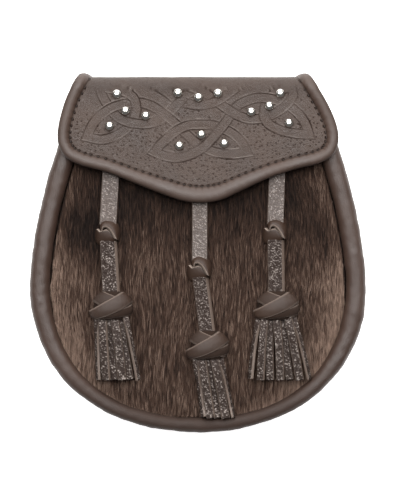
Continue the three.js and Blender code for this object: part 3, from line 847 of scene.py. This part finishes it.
# The knotwork is eight bands, which meet two by two in eight sharp corners. Each band is
# given by its middle line, and passes over and under the bands it crosses in turn.
CORNERS = {
    "left": (-66.3, 69.0), "left_top": (-58.5, 98.7), "middle_left": (-26.0, 60.0),
    "middle_right": (29.4, 59.7), "right_top": (56.2, 98.5), "right": (66.2, 70.4),
    "top_left": (-26.0, 100.0), "top_right": (24.5, 100.0),
}
BANDS = [
    # corner, corner, whether it passes over the first band it meets, places between
    ("left", "middle_right", True, [
        (-63.3, 75.7), (-58.2, 81.7), (-51, 86.5), (-42.5, 88.9), (-33.7, 89.2), (-26, 86.5),
        (-18.5, 81.2), (-10.5, 74.2), (-3, 67), (3, 62.8), (11, 59.7), (20, 58.5)]),
    ("left_top", "left", True, [
        (-50, 97.2), (-42.8, 95.4), (-38.2, 92), (-36.8, 87), (-37.6, 82), (-40.3, 76.3),
        (-45.5, 71.7), (-51, 68.8), (-58, 67.3)]),
    ("left_top", "top_right", False, [
        (-56.8, 93.5), (-54, 88.5), (-50.3, 83.3), (-46, 79.5), (-41, 77.6), (-34, 76.6),
        (-27.5, 77.3), (-21.5, 80), (-16.3, 84.2), (-12.3, 88.8), (-7.5, 93.6), (0, 97.6),
        (10, 100.2)]),
    ("middle_left", "middle_right", True, [
        (-22.3, 64.6), (-18.3, 68.2), (-13.6, 72.2), (-6, 75.7), (2, 76.3), (10, 75.6),
        (18.5, 72.2), (23.5, 68.7), (27, 64.6)]),
    ("right", "middle_left", False, [
        (64.5, 76), (61.8, 80.5), (58, 84.6), (53, 88.2), (47, 90.8), (41, 92), (35, 92),
        (29, 90.5), (24, 87.8), (20.3, 83.8), (17.3, 79), (12, 72.2), (8, 67.6), (3, 62.8),
        (-4, 58.6), (-12, 56.6), (-20, 57.6)]),
    ("right_top", "right", False, [
        (51, 97.6), (46, 95.2), (42, 91.5), (39.6, 86.5), (39.5, 81.5), (42, 77), (47, 73.8),
        (53, 71.9), (60, 70.8)]),
    ("right_top", "top_left", True, [
        (56.4, 93.8), (53.5, 89), (49, 85.1), (43.5, 81.9), (37.5, 80), (31, 79.6),
        (25.5, 81), (20.5, 83.7), (15.5, 87), (10.5, 90.6), (5, 94.6), (-2, 98), (-12, 100.3)]),
    ("top_left", "top_right", False, [
        (-19, 96), (-13.5, 92), (-7, 89), (1, 87.9), (8, 89), (14, 92), (19.3, 95.8)]),
]
BAND_HALF, RUN_ON = 2.8, 12
KNOTWORK_FADES = (96.5, 100.5)
TIP = {"reach": 18, "back": 6}
LINE = {"half": 0.34, "depth": 0.16, "burr": 0.13}


def nearest(x, y, line):
    """Distance from each place to a polyline, the number of its nearest segment, and how far
    up or down the line out from it points, 1 for up."""
    best, which = np.full(x.shape, 1e9), np.zeros(x.shape, int)
    upward = np.zeros(x.shape)
    for k, (a, b) in enumerate(zip(line[:-1], line[1:])):
        span = b - a
        share = ((x - a[0]) * span[0] + (y - a[1]) * span[1]) / (span @ span)
        share = np.clip(share, 0, 1)
        dx, dy = x - a[0] - share * span[0], y - a[1] - share * span[1]
        away = np.hypot(dx, dy)
        closer = away < best
        which = np.where(closer, k, which)
        upward = np.where(closer, dy / np.maximum(away, 1e-6), upward)
        best = np.minimum(best, away)
    return best, which, upward


def crossings(line, other):
    """The segment numbers at which a polyline is crossed by another."""
    a, b = line[:-1, None], line[1:, None]
    c, d = other[None, :-1], other[None, 1:]

    def turn(p, q, r):
        return (q[..., 0] - p[..., 0]) * (r[..., 1] - p[..., 1]) - (
            q[..., 1] - p[..., 1]) * (r[..., 0] - p[..., 0])

    crossed = (turn(a, b, c) * turn(a, b, d) < 0) & (turn(c, d, a) * turn(c, d, b) < 0)
    return np.nonzero(crossed)[0].tolist()


def laid_bands():
    """Each band's middle line with both ends run on straight past its corners, whether it
    lies on top at each segment, and its two ends with the way their corners point, which is
    midway between the two bands that meet there."""
    lines, pointing = [], dict.fromkeys(CORNERS, 0)
    for first, last, _, between in BANDS:
        line = through(np.array([CORNERS[first], *between, CORNERS[last]]), 8)
        pointing[first] = pointing[first] + unit(line[0] - line[3])
        pointing[last] = pointing[last] + unit(line[-1] - line[-4])
        lines.append(line)
    laid = []
    for line, (first, last, over, _) in zip(lines, BANDS):
        met = sorted(
            k for other in lines if other is not line
            for k in crossings(line[2:-2], other[2:-2])
        )
        edges = [(a + b) / 2 for a, b in zip(met[:-1], met[1:])]
        turns = np.searchsorted(edges, np.arange(len(line) - 1))
        on_top = (turns % 2 == 0) == over
        ends = [
            (line[0], line[3], unit(pointing[first])),
            (line[-1], line[-4], unit(pointing[last])),
        ]
        starts, finish = (tip + unit(tip - before) * RUN_ON for tip, before, _ in ends)
        run_on = np.vstack([starts, line, finish])
        laid.append((run_on, np.r_[on_top[0], on_top, on_top[-1]], ends))
    return laid


def emboss(x, y):
    """The lines at each place, as groove and burr, and how far the band's middle stands up. A
    burr is thrown up on a line's upper side."""
    groove, burr, puff = (np.zeros(x.shape) for _ in range(3))
    on_band = np.zeros(x.shape, bool)
    laid = laid_bands()
    for top in (False, True):
        for line, on_top, ends in laid:
            low, high = line.min(0) - 5, line.max(0) + 5
            near = (x > low[0]) & (x < high[0]) & (y > low[1]) & (y < high[1])
            px, py = x[near], y[near]
            away, which, upward = nearest(px, py, line)
            mine = on_top[which] == top
            for tip, before, axis in ends:
                side = axis[0] * (py - tip[1]) - axis[1] * (px - tip[0])
                own = side * (axis[0] * (before - tip)[1] - axis[1] * (before - tip)[0]) > 0
                at_tip = (px - tip[0]) * axis[0] + (py - tip[1]) * axis[1] > -TIP["back"]
                at_tip &= np.hypot(px - tip[0], py - tip[1]) < TIP["reach"]
                mine &= own | ~at_tip
            band = mine & (away < BAND_HALF)
            edge = (away - BAND_HALF) * np.sign(upward + 1e-9)
            line_down = np.exp(-(((edge + 0.2) / LINE["half"]) ** 2)) * mine
            line_up = np.exp(-(((edge - 0.45) / LINE["half"]) ** 2)) * mine * abs(upward)
            for field, value in ((groove, line_down), (burr, line_up)):
                field[near] = np.maximum(np.where(band, 0, field[near]), value)
            puff[near] = np.where(band, 1 - (away / BAND_HALF) ** 2, puff[near])
            on_band[near] |= band
    return groove, burr, puff, on_band


def stipple(x, y, ground):
    """Round punch marks on a jittered lattice where ground is true, dense low on the flap,
    sparse high up and none at the fold, some struck harder than others."""
    pitch = 2.5
    random = np.random.default_rng(81)
    columns, rows = int(180 / pitch), int(90 / pitch)
    jitter = random.uniform(-0.5, 0.5, (columns, rows, 2)) * pitch * 0.85
    kept = random.uniform(0, 1, (columns, rows))
    blow = random.uniform(0.45, 1, (columns, rows))
    column, row = np.floor((x + 90) / pitch).astype(int), np.floor((y - 25) / pitch).astype(int)
    best = np.zeros(x.shape)
    for dx in (-1, 0, 1):
        for dy in (-1, 0, 1):
            c, r = (column + dx).clip(0, columns - 1), (row + dy).clip(0, rows - 1)
            at_x = (c + 0.5) * pitch - 90 + jitter[c, r, 0]
            at_y = (r + 0.5) * pitch + 25 + jitter[c, r, 1]
            wanted = (kept[c, r] < mix(0.9, 0.1, smooth(at_y, 74, 90))) & (at_y < 93)
            away = np.hypot(x - at_x, y - at_y)
            best = np.maximum(best, (1 - smooth(away, 0.25, 0.68)) * wanted * blow[c, r])
    return best * ground


STITCH_PITCH = 4.5


def seam_holes(x, y):
    """The awl's slits just inside the seam of the rolled edge, 1 where one is. They are spaced
    along it, longer along the seam than across it."""
    middles = np.arange(STITCH_PITCH / 2, outline_walked[-1], STITCH_PITCH)
    places = np.stack([np.interp(middles, outline_walked, c) for c in seam_line.T], 1)
    inward = -np.stack([np.interp(middles, outline_walked, c) for c in outline_out.T], 1)
    holes = np.zeros(x.shape)
    for place, way in zip(places + inward * 0.55, inward):
        near = (abs(x - place[0]) < 3) & (abs(y - place[1]) < 3)
        dx, dy = x[near] - place[0], y[near] - place[1]
        across, along = dx * way[0] + dy * way[1], dx * way[1] - dy * way[0]
        away = np.hypot(across / 0.65, (along - 0.4 * across) / 0.95)
        holes[near] = np.maximum(holes[near], 1 - smooth(away, 0.7, 1.15))
    return holes


def sheet(upper, lower, step, **marks):
    """A closed sheet from two grids of points. Its outer face has every point; its hidden
    face has each step-th, with many-sided faces along the rim."""
    rows, columns = upper.shape[:2]
    total = rows * columns
    vertices = np.vstack([upper.reshape(-1, 3), lower.reshape(-1, 3)])
    low = np.arange(total).reshape(rows, columns) + total
    rim = np.concatenate([
        np.arange(columns), np.arange(1, rows) * columns + columns - 1,
        (rows - 1) * columns + np.arange(columns - 2, -1, -1), np.arange(rows - 2, 0, -1) * columns,
    ])
    after = np.roll(rim, -1)
    faces = {4: [grid_faces(rows, columns), np.stack([rim, after, after + total, rim + total], 1)]}
    for i in range(0, rows - 1, step):
        for j in range(0, columns - 1, step):
            left = low[i : i + step + 1, j] if j == 0 else low[[i, i + step], j]
            right_column = j + step
            right = low[i : i + step + 1, right_column]
            right = right if right_column == columns - 1 else right[[0, -1]]
            top = low[i, j : j + step + 1] if i == 0 else low[i, [j, j + step]]
            bottom_row = i + step
            bottom = low[bottom_row, j : j + step + 1]
            bottom = bottom if bottom_row == rows - 1 else bottom[[0, -1]]
            corner = np.concatenate([top[:-1], right[:-1], bottom[:0:-1], left[:0:-1]])
            faces.setdefault(len(corner), []).append(corner[None])
    groups = [np.vstack(group) for group in faces.values()]
    used = np.unique(np.concatenate([group.ravel() for group in groups]))
    renumber = np.zeros(2 * total, int)
    renumber[used] = np.arange(len(used))
    doubled = {key: np.tile(value.ravel(), 2)[used] for key, value in marks.items()}
    return closed(vertices[used], [renumber[group] for group in groups], doubled)


def flap_body():
    """The flap's leather: rows follow its lower edge and straighten towards the fold."""
    columns, front_rows, fold_rows = 385, 157, 36
    # columns stand closer towards both sides, where the outline is steep
    crowded = np.pi / 2 * 0.82
    across = np.sin(np.linspace(-1, 1, columns) * crowded) / np.sin(crowded)
    start = np.interp(across * inner_lower[-1, 0], inner_lower[:, 0], inner_lower[:, 1])
    down = np.linspace(0, 1, front_rows)[:, None]
    front = mix(start[None], FOLD_START - 1, down)
    fold = np.linspace(FOLD_START - 1, FLAP_END, fold_rows + 1)[1:, None].repeat(columns, 1)
    t = np.vstack([front, fold])
    x = flap_lean(t) + across * flap_half_width(np.maximum(t, inner_side[0, 1]))
    groove, burr, puff, on_band = emboss(x, t)
    worked = 1 - smooth(t, *KNOTWORK_FADES)
    groove, burr = groove * worked, burr * worked
    edge_away = nearest(x, t, seam_line[::12])[0]
    field = smooth(edge_away, 1.5, 3.5)
    dots = stipple(x, t, ~on_band) * field
    holes = seam_holes(x, t)
    studs = np.zeros(x.shape)
    for stud_x, stud_y in STUDS:
        studs = np.maximum(studs, np.exp(-((np.hypot(x - stud_x, t - stud_y) / 4.2) ** 2)))
    flat = on_flap(x, t, 0.0)
    force = np.clip(0.75 + 0.4 * ripple(flat, 16, 84), 0.1, 1.4)
    waves = ripple(flat, 26, 82) * 0.12 + ripple(flat, 7, 83) * 0.03
    creases = -abs(ripple(flat, 1.7, 85)) * 0.035 * (1 - 0.6 * on_band)
    seam_dip = 0.25 * (1 - smooth(edge_away, 0, 1.6))
    height = LEATHER / 2 + waves + creases + 0.06 * puff * field - 0.1 - seam_dip
    height = height + (LINE["burr"] * burr - LINE["depth"] * groove) * force
    height = height - 0.2 * dots - 0.25 * studs - 0.35 * holes
    upper, lower = on_flap(x, t, height), on_flap(x, t, -LEATHER / 2)
    # painted shade along the seam and over the fold; the lip mark is a painted highlight on the burr
    # along each line's upper side, which faces the lamps
    seam_shade = 0.3 * (1 - smooth(edge_away, 0.1, 0.7))
    fold_shade = 0.22 * smooth(t, 90, 100)
    sunk = 0.8 * groove * force + 0.8 * dots + 0.12 * studs + holes + seam_shade + fold_shade
    lip = burr * np.clip(0.5 + 0.6 * ripple(flat, 20, 86), 0, 1)
    return sheet(upper, lower, 12, sunk=np.clip(sunk, 0, 1), lip=lip)


STUDS = [
    (-48.4, 94.4), (-43.3, 84.4), (-31.2, 81.4), (-52.8, 75.3), (-12.0, 95.0), (0.2, 92.3),
    (11.8, 94.8), (49.0, 94.8), (42.5, 87.3), (31.7, 83.8), (54.2, 77.1), (2.0, 70.2),
    (-11.2, 63.6), (15.6, 64.9),
]
flap_leather = leather("cowhide_flap_embossed", "2b1f19", "4b3a30", 0.9, 0.11, 0.46)
new_piece("flap_leather", [flap_body()], flap_leather, "flap_leather", "flap")

# ---- the flap's rolled edge ---------------------------------------------------------------------
# A strip of the same leather is folded over the flap's edge, filled, and sewn through along its
# inner side with short slanting stitches that pull the leather in.
def piping_body():
    """The roll along the flap's outline and over the fold, dented at every stitch."""
    count, places = 1150, 24
    edge, outward = even(flap_outline, count)
    width = piping_width(edge[:, 0], edge[:, 1])
    angle = np.linspace(0, 2 * np.pi, places, endpoint=False)
    cos, sin = (np.sign(f(angle)) * abs(f(angle)) ** (2 / 3) for f in (np.cos, np.sin))
    # the inner half of its top lies down to the flap: a binding, more than a round roll
    sin = np.where((cos < 0) & (sin > 0), sin * (1 - 0.42 * abs(cos) ** 1.6), sin)
    length = np.linalg.norm(np.diff(edge, axis=0), axis=1).sum()
    taper = end_taper(count, length, 3.5)[:, None]
    inward = width[:, None] / 2 * (1 - cos[None] * taper)
    x = edge[:, :1] - outward[:, :1] * inward
    t = edge[:, 1:] - outward[:, 1:] * inward
    walked = np.linspace(0, length, count)[:, None]
    pull = np.cos(np.pi * walked / STITCH_PITCH + np.pi / 2) ** 8
    pull = pull * np.clip(-cos, 0, 1)[None] ** 4
    height = PIPING["lift"] + PIPING["height"] / 2 * sin[None] * taper
    rough = on_flap(x, t, height)
    waves = ripple(rough, 24, 91) * 0.15 + ripple(rough, 5, 92) * 0.05
    height = height + (waves - 0.15) * np.sign(sin)[None] - 0.4 * pull * (sin > -0.2)[None]
    # painted shade darkens the roll's outer side; the dents at the stitches are darkened too
    return roll(on_flap(x, t, height), sunk=0.5 * pull + 0.4 * smooth(cos, 0.1, 0.95)[None])


piping_leather = leather("cowhide_piping_smooth", "34261f", "4a3930", 0.9, 0.025, 0.5)
new_piece("flap_rolled_edge", [piping_body()], piping_leather, "flap_leather", "flap_piping")

seam_in = seam_line - outline_out * 0.3
seam_path = on_flap(seam_in[:, 0], seam_in[:, 1], LEATHER / 2 - 0.55)
new_piece(
    "flap_stitches",
    stitch_row(seam_path, STITCH_PITCH, 1.7, 0.7, 0.3, slant=0.3, walked=outline_walked),
    thread, "flap_leather",
)
tail_y = FOLD_START - TAIL["length"] + 4
tail_path = np.linspace((-52, tail_y, TAIL["z"] - 1.25), (52, tail_y, TAIL["z"] - 1.25), 60)
new_piece("flap_tail_stitches", stitch_row(tail_path, 4.0, 2.8, 0.9, -0.35), thread, "flap_leather")

# ---- studs --------------------------------------------------------------------------------------
# Fourteen domed heads of polished nickel-plated brass, each with a shank clenched behind the
# leather. They mirror the lamp in their upper half and the darker room below.
STUD_RADIUS, STUD_DOME = 2.8, 2.2
# Polished nickel plate: a clean mirror, faintly warm, with the finest of scratches.
nickel = new_material("nickel_plate_polished")
scratches = noise(nickel, coordinates(nickel), 1.0, 4.0)
surface(
    nickel, base_color=linear("dcd8d2"), metallic=1.0,
    roughness=ranged(nickel, scratches, 0.0, 1.0, 0.12, 0.26),
)


def dome_body(x, y, low, radius, dome):
    """A turned head: a short upright rim under a half superellipse, flattened at its crown."""
    angle = np.linspace(0, np.pi / 2, 14)[1:-1]
    wide, tall = np.cos(angle) ** (2 / 2.08), np.sin(angle) ** (2 / 2.08)
    out = np.r_[0.35, 1.0, 1.0, wide, 0.04] * radius
    up = np.r_[0.0, 0.0, 0.15, 0.15 + tall * (dome - 0.15), dome]
    spin = oval(28)
    points = np.zeros((len(out), 28, 3))
    points[..., :2] = out[:, None, None] * spin + (x, y)
    points[..., 2] = (low + up)[:, None]
    return roll(points)


stud_z = FLAP_Z + LEATHER / 2 + 0.05
for number, (x, y) in enumerate(STUDS, start=1):
    new_piece(
        f"stud_{number:02d}_head", [dome_body(x, y, stud_z, STUD_RADIUS, STUD_DOME)],
        nickel, "nickel", f"stud_{number:02d}",
    )
snap_low, snap_high = (corner.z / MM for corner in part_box("press_stud"))


def snap_body():
    """A press stud: its two discs, one on the hide and one under the flap, and the neck."""
    z = np.array([0.0, 0.0, 0.3, 0.42, 0.45, 0.55, 0.58, 0.7, 1.0, 1.0])
    out = np.array([0.3, 1.0, 1.0, 0.8, 0.55, 0.55, 0.8, 1.0, 1.0, 0.3]) * 6.5
    points = np.zeros((len(z), 32, 3))
    points[..., :2] = out[:, None, None] * oval(32) + (0, 70)
    points[..., 2] = mix(snap_low, snap_high, z)[:, None]
    return roll(points)


new_piece("press_stud_discs", [snap_body()], nickel, "nickel", "press_stud")

# ---- tassels --------------------------------------------------------------------------------------
# Each tassel hangs on a strap of crinkled hide, which is knotted half way and goes on to a
# head of wide bands lapped over each other. From the head hangs a fringe of cut strips. The
# edges are cut and left pale.
STRAP = 1.8
TASSELS = {
    "left": {
        "strap": 10.5, "sewn": (-51.4, 62), "hitch": (-54, 11.7), "head": (-51.6, -31.5, 26.9),
        "fringe": (-47.6, -76.9, 20.5, 27.4), "strips": 6,
    },
    "centre": {
        "strap": 9.6, "sewn": (1.1, 50), "hitch": (0.9, -9.9), "head": (5.8, -55.1, 26.6),
        "fringe": (12.3, -99.6, 18.6, 21.5), "strips": 5,
    },
    "right": {
        "strap": 10.2, "sewn": (47.8, 62), "hitch": (46.2, 12.3), "head": (46.8, -31.5, 28.3),
        "fringe": (49.2, -76.9, 23, 38), "strips": 7,
    },
}
STRIP = {"thick": 1.5, "outer": 4.2, "inner": (4.9, 5.6), "rows": 96}
BUNDLE_THICK = {"head": 8.6, "end": 5.0}
HITCH = {"length": 13.4, "lift": 1.2}
HEAD = {"length": 17.6, "thick": 14.0}
tassel_leather = leather("cowhide_tassel_crinkled", "2b1c15", "42312a", 0.7, 0.08, 0.34, "62544b")
knot_leather = leather("cowhide_knot_smooth", "281a12", "3e2c21", 0.8, 0.03, 0.55, "85766c", 0.42)


def lying_z(x, y):
    """Height of the middle of a strap that lies on the hair."""
    return front_z(np.asarray(x, float), np.asarray(y, float)) + 0.3 + STRAP / 2


def crinkle(rings, face, seed, size, depth, painted_highlight, painted_sheen, darkening):
    """Rings with the leather's crinkles on its grain side, which are rounded pebbles between
    sharp valleys, and their marks: a painted highlight on each pebble's crest, a painted
    sheen that pales it all, an even darkening, and painted shade darkest in the valleys."""
    pebbles = abs(ripple(rings, size, seed)) + 0.5 * abs(ripple(rings, size * 0.6, seed + 1))
    lift = (pebbles - 0.9) * depth * face
    lip = (smooth(pebbles, 1.25, 1.75) * painted_highlight + painted_sheen) * face
    sunk = np.clip((1 - smooth(pebbles, 0.25, 0.9)) * 0.5 + darkening, 0, 1) * face
    return rings + lift[..., None] * (0, 0, 1), lip, sunk


def strap_body(path, width, left, right, seed, painted_highlight, painted_sheen, darkening):
    """A strap along a path that lies on the hair, grain side up."""
    count = 150
    places = even(through(np.array(path, float), 40)[:, :2], count)[0]
    z = np.interp(places[:, 1], *np.array(path, float)[::-1, 1:].T)
    z = np.maximum(z, lying_z(*places.T) - 0.1)
    section, raw = strip_section(width, STRAP, left, right, across=20)
    rings = carry(section, np.c_[places, z])
    face = ((raw == 0) & (section[:, 1] > 0))[None]
    rings, lip, sunk = crinkle(rings, face, seed, 1.25, 0.16, painted_highlight, painted_sheen, darkening)
    return roll(rings, raw=raw, lip=lip, sunk=sunk)


def hood_body(rim, brow, low, high, thick, lip):
    """A lobe of the knot: a sheet that climbs from its rim on the hair to its brow, where
    its cut edge shows as a slope lip wide."""
    steps = 14
    share = np.linspace(0, 1, steps)
    plan = mix(rim[None], brow[None], share[:, None, None])
    rise = np.sin(share * np.pi / 2)[:, None] ** 0.7
    height = mix(low, high, rise).repeat(len(rim), 1)
    inward = unit(brow - rim)
    crest = np.dstack([(brow + inward * 0.06)[None], height[-1:] - 0.03])
    edge = np.dstack([(brow + inward * lip)[None], height[-1:] - 0.6])
    under = np.dstack([plan, height - thick - 0.1])[::-1]
    rings = np.concatenate([np.dstack([plan, height]), crest, edge, under]).transpose(1, 0, 2)
    raw = np.r_[np.zeros(steps), 1.0, 1.0, np.zeros(steps)]
    return roll(rings, raw=raw[None])


def arc_points(points, count):
    """count points evenly along the smooth curve through points."""
    return even(through(np.array(points, float), 20), count)[0]


# x, y from the knot's middle, from each outline's left end to its right
OVER_RIM = [(-5.2, 4.5), (-3.4, 6.6), (1, 7.2), (5, 6), (7.2, 2.2), (6.9, -4.4)]
OVER_BROW = [(-3.6, 1.4), (-2.9, 3.3), (-1.1, 3.9), (1.2, 2.8), (3.6, 0), (5.6, -3.7)]
UNDER_RIM = [(-7.4, 1.8), (-7.8, -2.5), (-5.8, -6.2), (-1, -6.9), (3.2, -6), (5, -4.6)]
UNDER_BROW = [(-6.6, 2), (-4.6, 0.5), (-2.4, 0.9), (-0.2, 1.2), (2.2, -0.6), (4.4, -3.4)]
HITCH_STRETCH = (1, 1.12)


def hitch_bodies(x, y):
    """The knot: a lobe that comes over from the top right, its brow an S with the hook of
    the lobe that turns back below on the left, and the turn of strap inside them."""
    base = float(front_z(x, y)) + 0.2
    over_rim, over_brow, under_rim, under_brow = (
        arc_points(outline, 40) * HITCH_STRETCH + (x, y)
        for outline in (OVER_RIM, OVER_BROW, UNDER_RIM, UNDER_BROW)
    )
    over = hood_body(over_rim, over_brow, base, base + 6.2, 1.6, 1.4)
    under = hood_body(under_rim, under_brow, base, base + 4.6, 1.6, 1.2)
    heights = np.array([0.0, 0.4, 0.8, 1.0])
    shrink = np.array([0.8, 1.0, 0.85, 0.1])
    inside = np.zeros((4, 24, 3))
    inside[..., :2] = oval(24) * 5.6 * shrink[:, None, None] + (x, y)
    inside[..., 2] = (base + heights * 3.2)[:, None]
    return [over, under, roll(inside, raw=0.0)]


def barrel_radius(up):
    """Share of the head's full radius at a height from 0, its bottom, to 1, its top."""
    rows = np.array([(0, 0.70), (0.12, 0.90), (0.35, 1.0), (0.62, 0.94), (0.85, 0.70), (1, 0.38)])
    return np.interp(up, rows[:, 0], rows[:, 1])


BAND_THICK = 1.5
HEAD_BANDS = [
    # middle height, slope, turn, width of the band, how proud it stands, its painted shade
    (2.2, -6.5, 0.0, 12.0, 0.1, 0.3),
    (-6.6, 4.0, 0.2, 7.0, 0.5, 0.65),
    (-0.7, 8.0, 0.0, 10.6, 1.3, 0.05),
]


def band_body(x, y, z, width, base, slope, phase, reach, proud, shade, seed):
    """One lapped band: a wide strip wound once round the head as a tilted ring, its middle
    at base + slope sin(angle + phase), standing proud of the barrel."""
    count, across = 120, 9
    angle = np.linspace(0, 2 * np.pi, count, endpoint=False)[:, None]
    v = np.linspace(-1, 1, across)[None]
    up = base + slope * np.cos(angle + phase) + v * reach / 2
    up = HEAD["length"] * 0.47 * np.tanh(up / (HEAD["length"] * 0.47)) * 0.9 + 0.1 * up
    outer = barrel_radius(up / HEAD["length"] + 0.5)
    bulge = 0.35 * (1 - v**2)

    def shell(out):
        a = (width / 2 - 1.2) * outer + out
        b = (HEAD["thick"] / 2 - 1.2) * outer + out
        return np.stack([x + a * np.cos(angle), y + up, z + b * np.sin(angle)], -1)

    top = shell(proud + bulge)
    under = shell(proud - BAND_THICK)[:, ::-1]
    rings = np.concatenate([top, under], 1)
    total = 2 * across
    faces = [grid_faces(count, total, wrap_rows=True, wrap_columns=True)]
    raw = np.zeros((count, total))
    raw[:, [0, across - 1, across, total - 1]] = (0.5, 0.5, 1, 1)
    rings = rings + ripple(rings, 3, seed)[..., None] * 0.04
    # painted shade: bands that lie lower are darker, and each band darkens towards its edges
    darkening = np.full(raw.shape, shade) + 0.15 * (v.repeat(2, 1) ** 2)
    return closed(rings.reshape(-1, 3), faces, {"raw": raw.ravel(), "sunk": darkening.ravel()})


def head_bodies(x, y, z, width, seed):
    """A dark core and the bands lapped over it."""
    up = np.r_[0.0, np.linspace(0.02, 0.98, 14), 1.0]
    out = np.r_[0.3, barrel_radius(up[1:-1]), 0.2] * 0.86
    spin = oval(28)
    points = np.zeros((16, 28, 3))
    points[..., 0] = x + out[:, None] * spin[None, :, 0] * (width / 2 - 1)
    points[..., 2] = z + out[:, None] * spin[None, :, 1] * (HEAD["thick"] / 2 - 1)
    points[..., 1] = y + (up[:, None] - 0.5) * HEAD["length"]
    # the core is marked dark all over as painted shade where it shows between the bands
    core = roll(points, raw=0.0, sunk=0.8)
    bands = [band_body(x, y, z, width, *row, seed + k) for k, row in enumerate(HEAD_BANDS)]
    return [core, *bands]


def fringe_strips(tassel, top_z, seed):
    """The cut strips in two layers, fanned from under the head to the fringe's end. Outer
    ones stand on edge, inner ones lie flat, and each sags on to the hair or the welt."""
    head_x, head_y, _ = tassel["head"]
    end_x, end_y, top_width, end_width = tassel["fringe"]
    random = np.random.default_rng(seed)
    strips = []
    total = tassel["strips"]
    for k in range(total):
        share = k / (total - 1) * 2 - 1
        outer = abs(share) > 0.8
        layer = k % 2
        down = np.linspace(0, 1, STRIP["rows"])
        spread = mix(top_width / 2 - 2.2, end_width / 2 - 2.2, down**0.8)
        x = mix(head_x, end_x, down) + share * spread * 1.05
        x = x + random.normal(0, 0.35) * np.sin(down * 3)
        # every other strip ends up to 0.8 short
        short = random.uniform(-1.2, 0.8) * (0 if layer else 1)
        y = mix(head_y - HEAD["length"] / 2 + 2.5, end_y + 0.8 + max(0, short), down)
        on_hair, on_welt = front_z(x, y) + 1.6, WELT_TOP_Z - 0.9
        low = mix(on_hair, on_welt, smooth(-y, 92, 98))
        share_up = 0.75 if layer else 0.3
        settled = low + share_up * mix(BUNDLE_THICK["head"], BUNDLE_THICK["end"], down)
        z = mix(top_z + 0.5 + (1.4 if layer else -0.8), settled, smooth(down, 0, 0.6))
        turn = np.sign(share) * (1.0 if outer else 0.28 * abs(share)) + random.normal(0, 0.08)
        turn = -turn * smooth(down, -0.1, 0.35)
        width = STRIP["outer"] if outer else random.uniform(*STRIP["inner"])
        section, raw = strip_section(width, STRIP["thick"], 0.25, 0.75, across=10)
        rings = carry(section, np.stack([x, y, z], 1), turn=turn)
        face = ((raw == 0) & (section[:, 1] > 0))[None]
        # painted highlights on the crests, a faint painted sheen and painted shade in the valleys;
        # the strips are darker towards their ends
        darkening = (0.35 + 0.35 * down)[:, None]
        rings, lip, sunk = crinkle(rings, face, seed + k, 1.5, 0.24, 3.4, 0.1, darkening)
        strips.append(roll(rings, raw=raw, lip=lip, sunk=sunk))
    return strips


for index, (side, tassel) in enumerate(TASSELS.items()):
    hitch_x, hitch_y = tassel["hitch"]
    head_x, head_y, head_width = tassel["head"]
    name = f"tassel_{side}"
    seed = 200 + 20 * index
    head_z = float(front_z(head_x, head_y)) + 0.3 + HEAD["thick"] / 2
    above = (hitch_x, hitch_y + HITCH["length"] / 2 - 2)
    below = (hitch_x + 0.4, hitch_y - HITCH["length"] / 2 + 2)
    head_top = (head_x, head_y + HEAD["length"] / 2 - 2)
    # the upper strap gets a painted sheen all over and painted highlights on its grain crests
    new_piece(
        f"{name}_strap_above",
        [strap_body(
            [(*tassel["sewn"], lying_z(*tassel["sewn"])), (*above, lying_z(*above) + HITCH["lift"])],
            tassel["strap"], 0.5, 0.3, seed, painted_highlight=2.6, painted_sheen=0.5, darkening=0.0,
        )],
        tassel_leather, "tassel_leather", f"{name}_upper_strap",
    )
    new_piece(
        f"{name}_knot", hitch_bodies(hitch_x, hitch_y), knot_leather, "tassel_leather",
        f"{name}_hitch",
    )
    # the lower strap is darkened all over as painted shade, with painted highlights on its crests
    new_piece(
        f"{name}_strap_below",
        [strap_body(
            [(*below, lying_z(*below) + HITCH["lift"]), (*head_top, head_z + 1.0)],
            tassel["strap"], 0.3, 1.7, seed + 3, painted_highlight=2.6, painted_sheen=0.0, darkening=0.6,
        )],
        tassel_leather, "tassel_leather", f"{name}_lower_strap",
    )
    new_piece(
        f"{name}_head", head_bodies(head_x, head_y, head_z, head_width, seed + 5),
        knot_leather, "tassel_leather", f"{name}_woven_head",
    )
    new_piece(
        f"{name}_strips", fringe_strips(tassel, head_z, seed + 9), tassel_leather,
        "tassel_leather", f"{name}_fringe",
    )
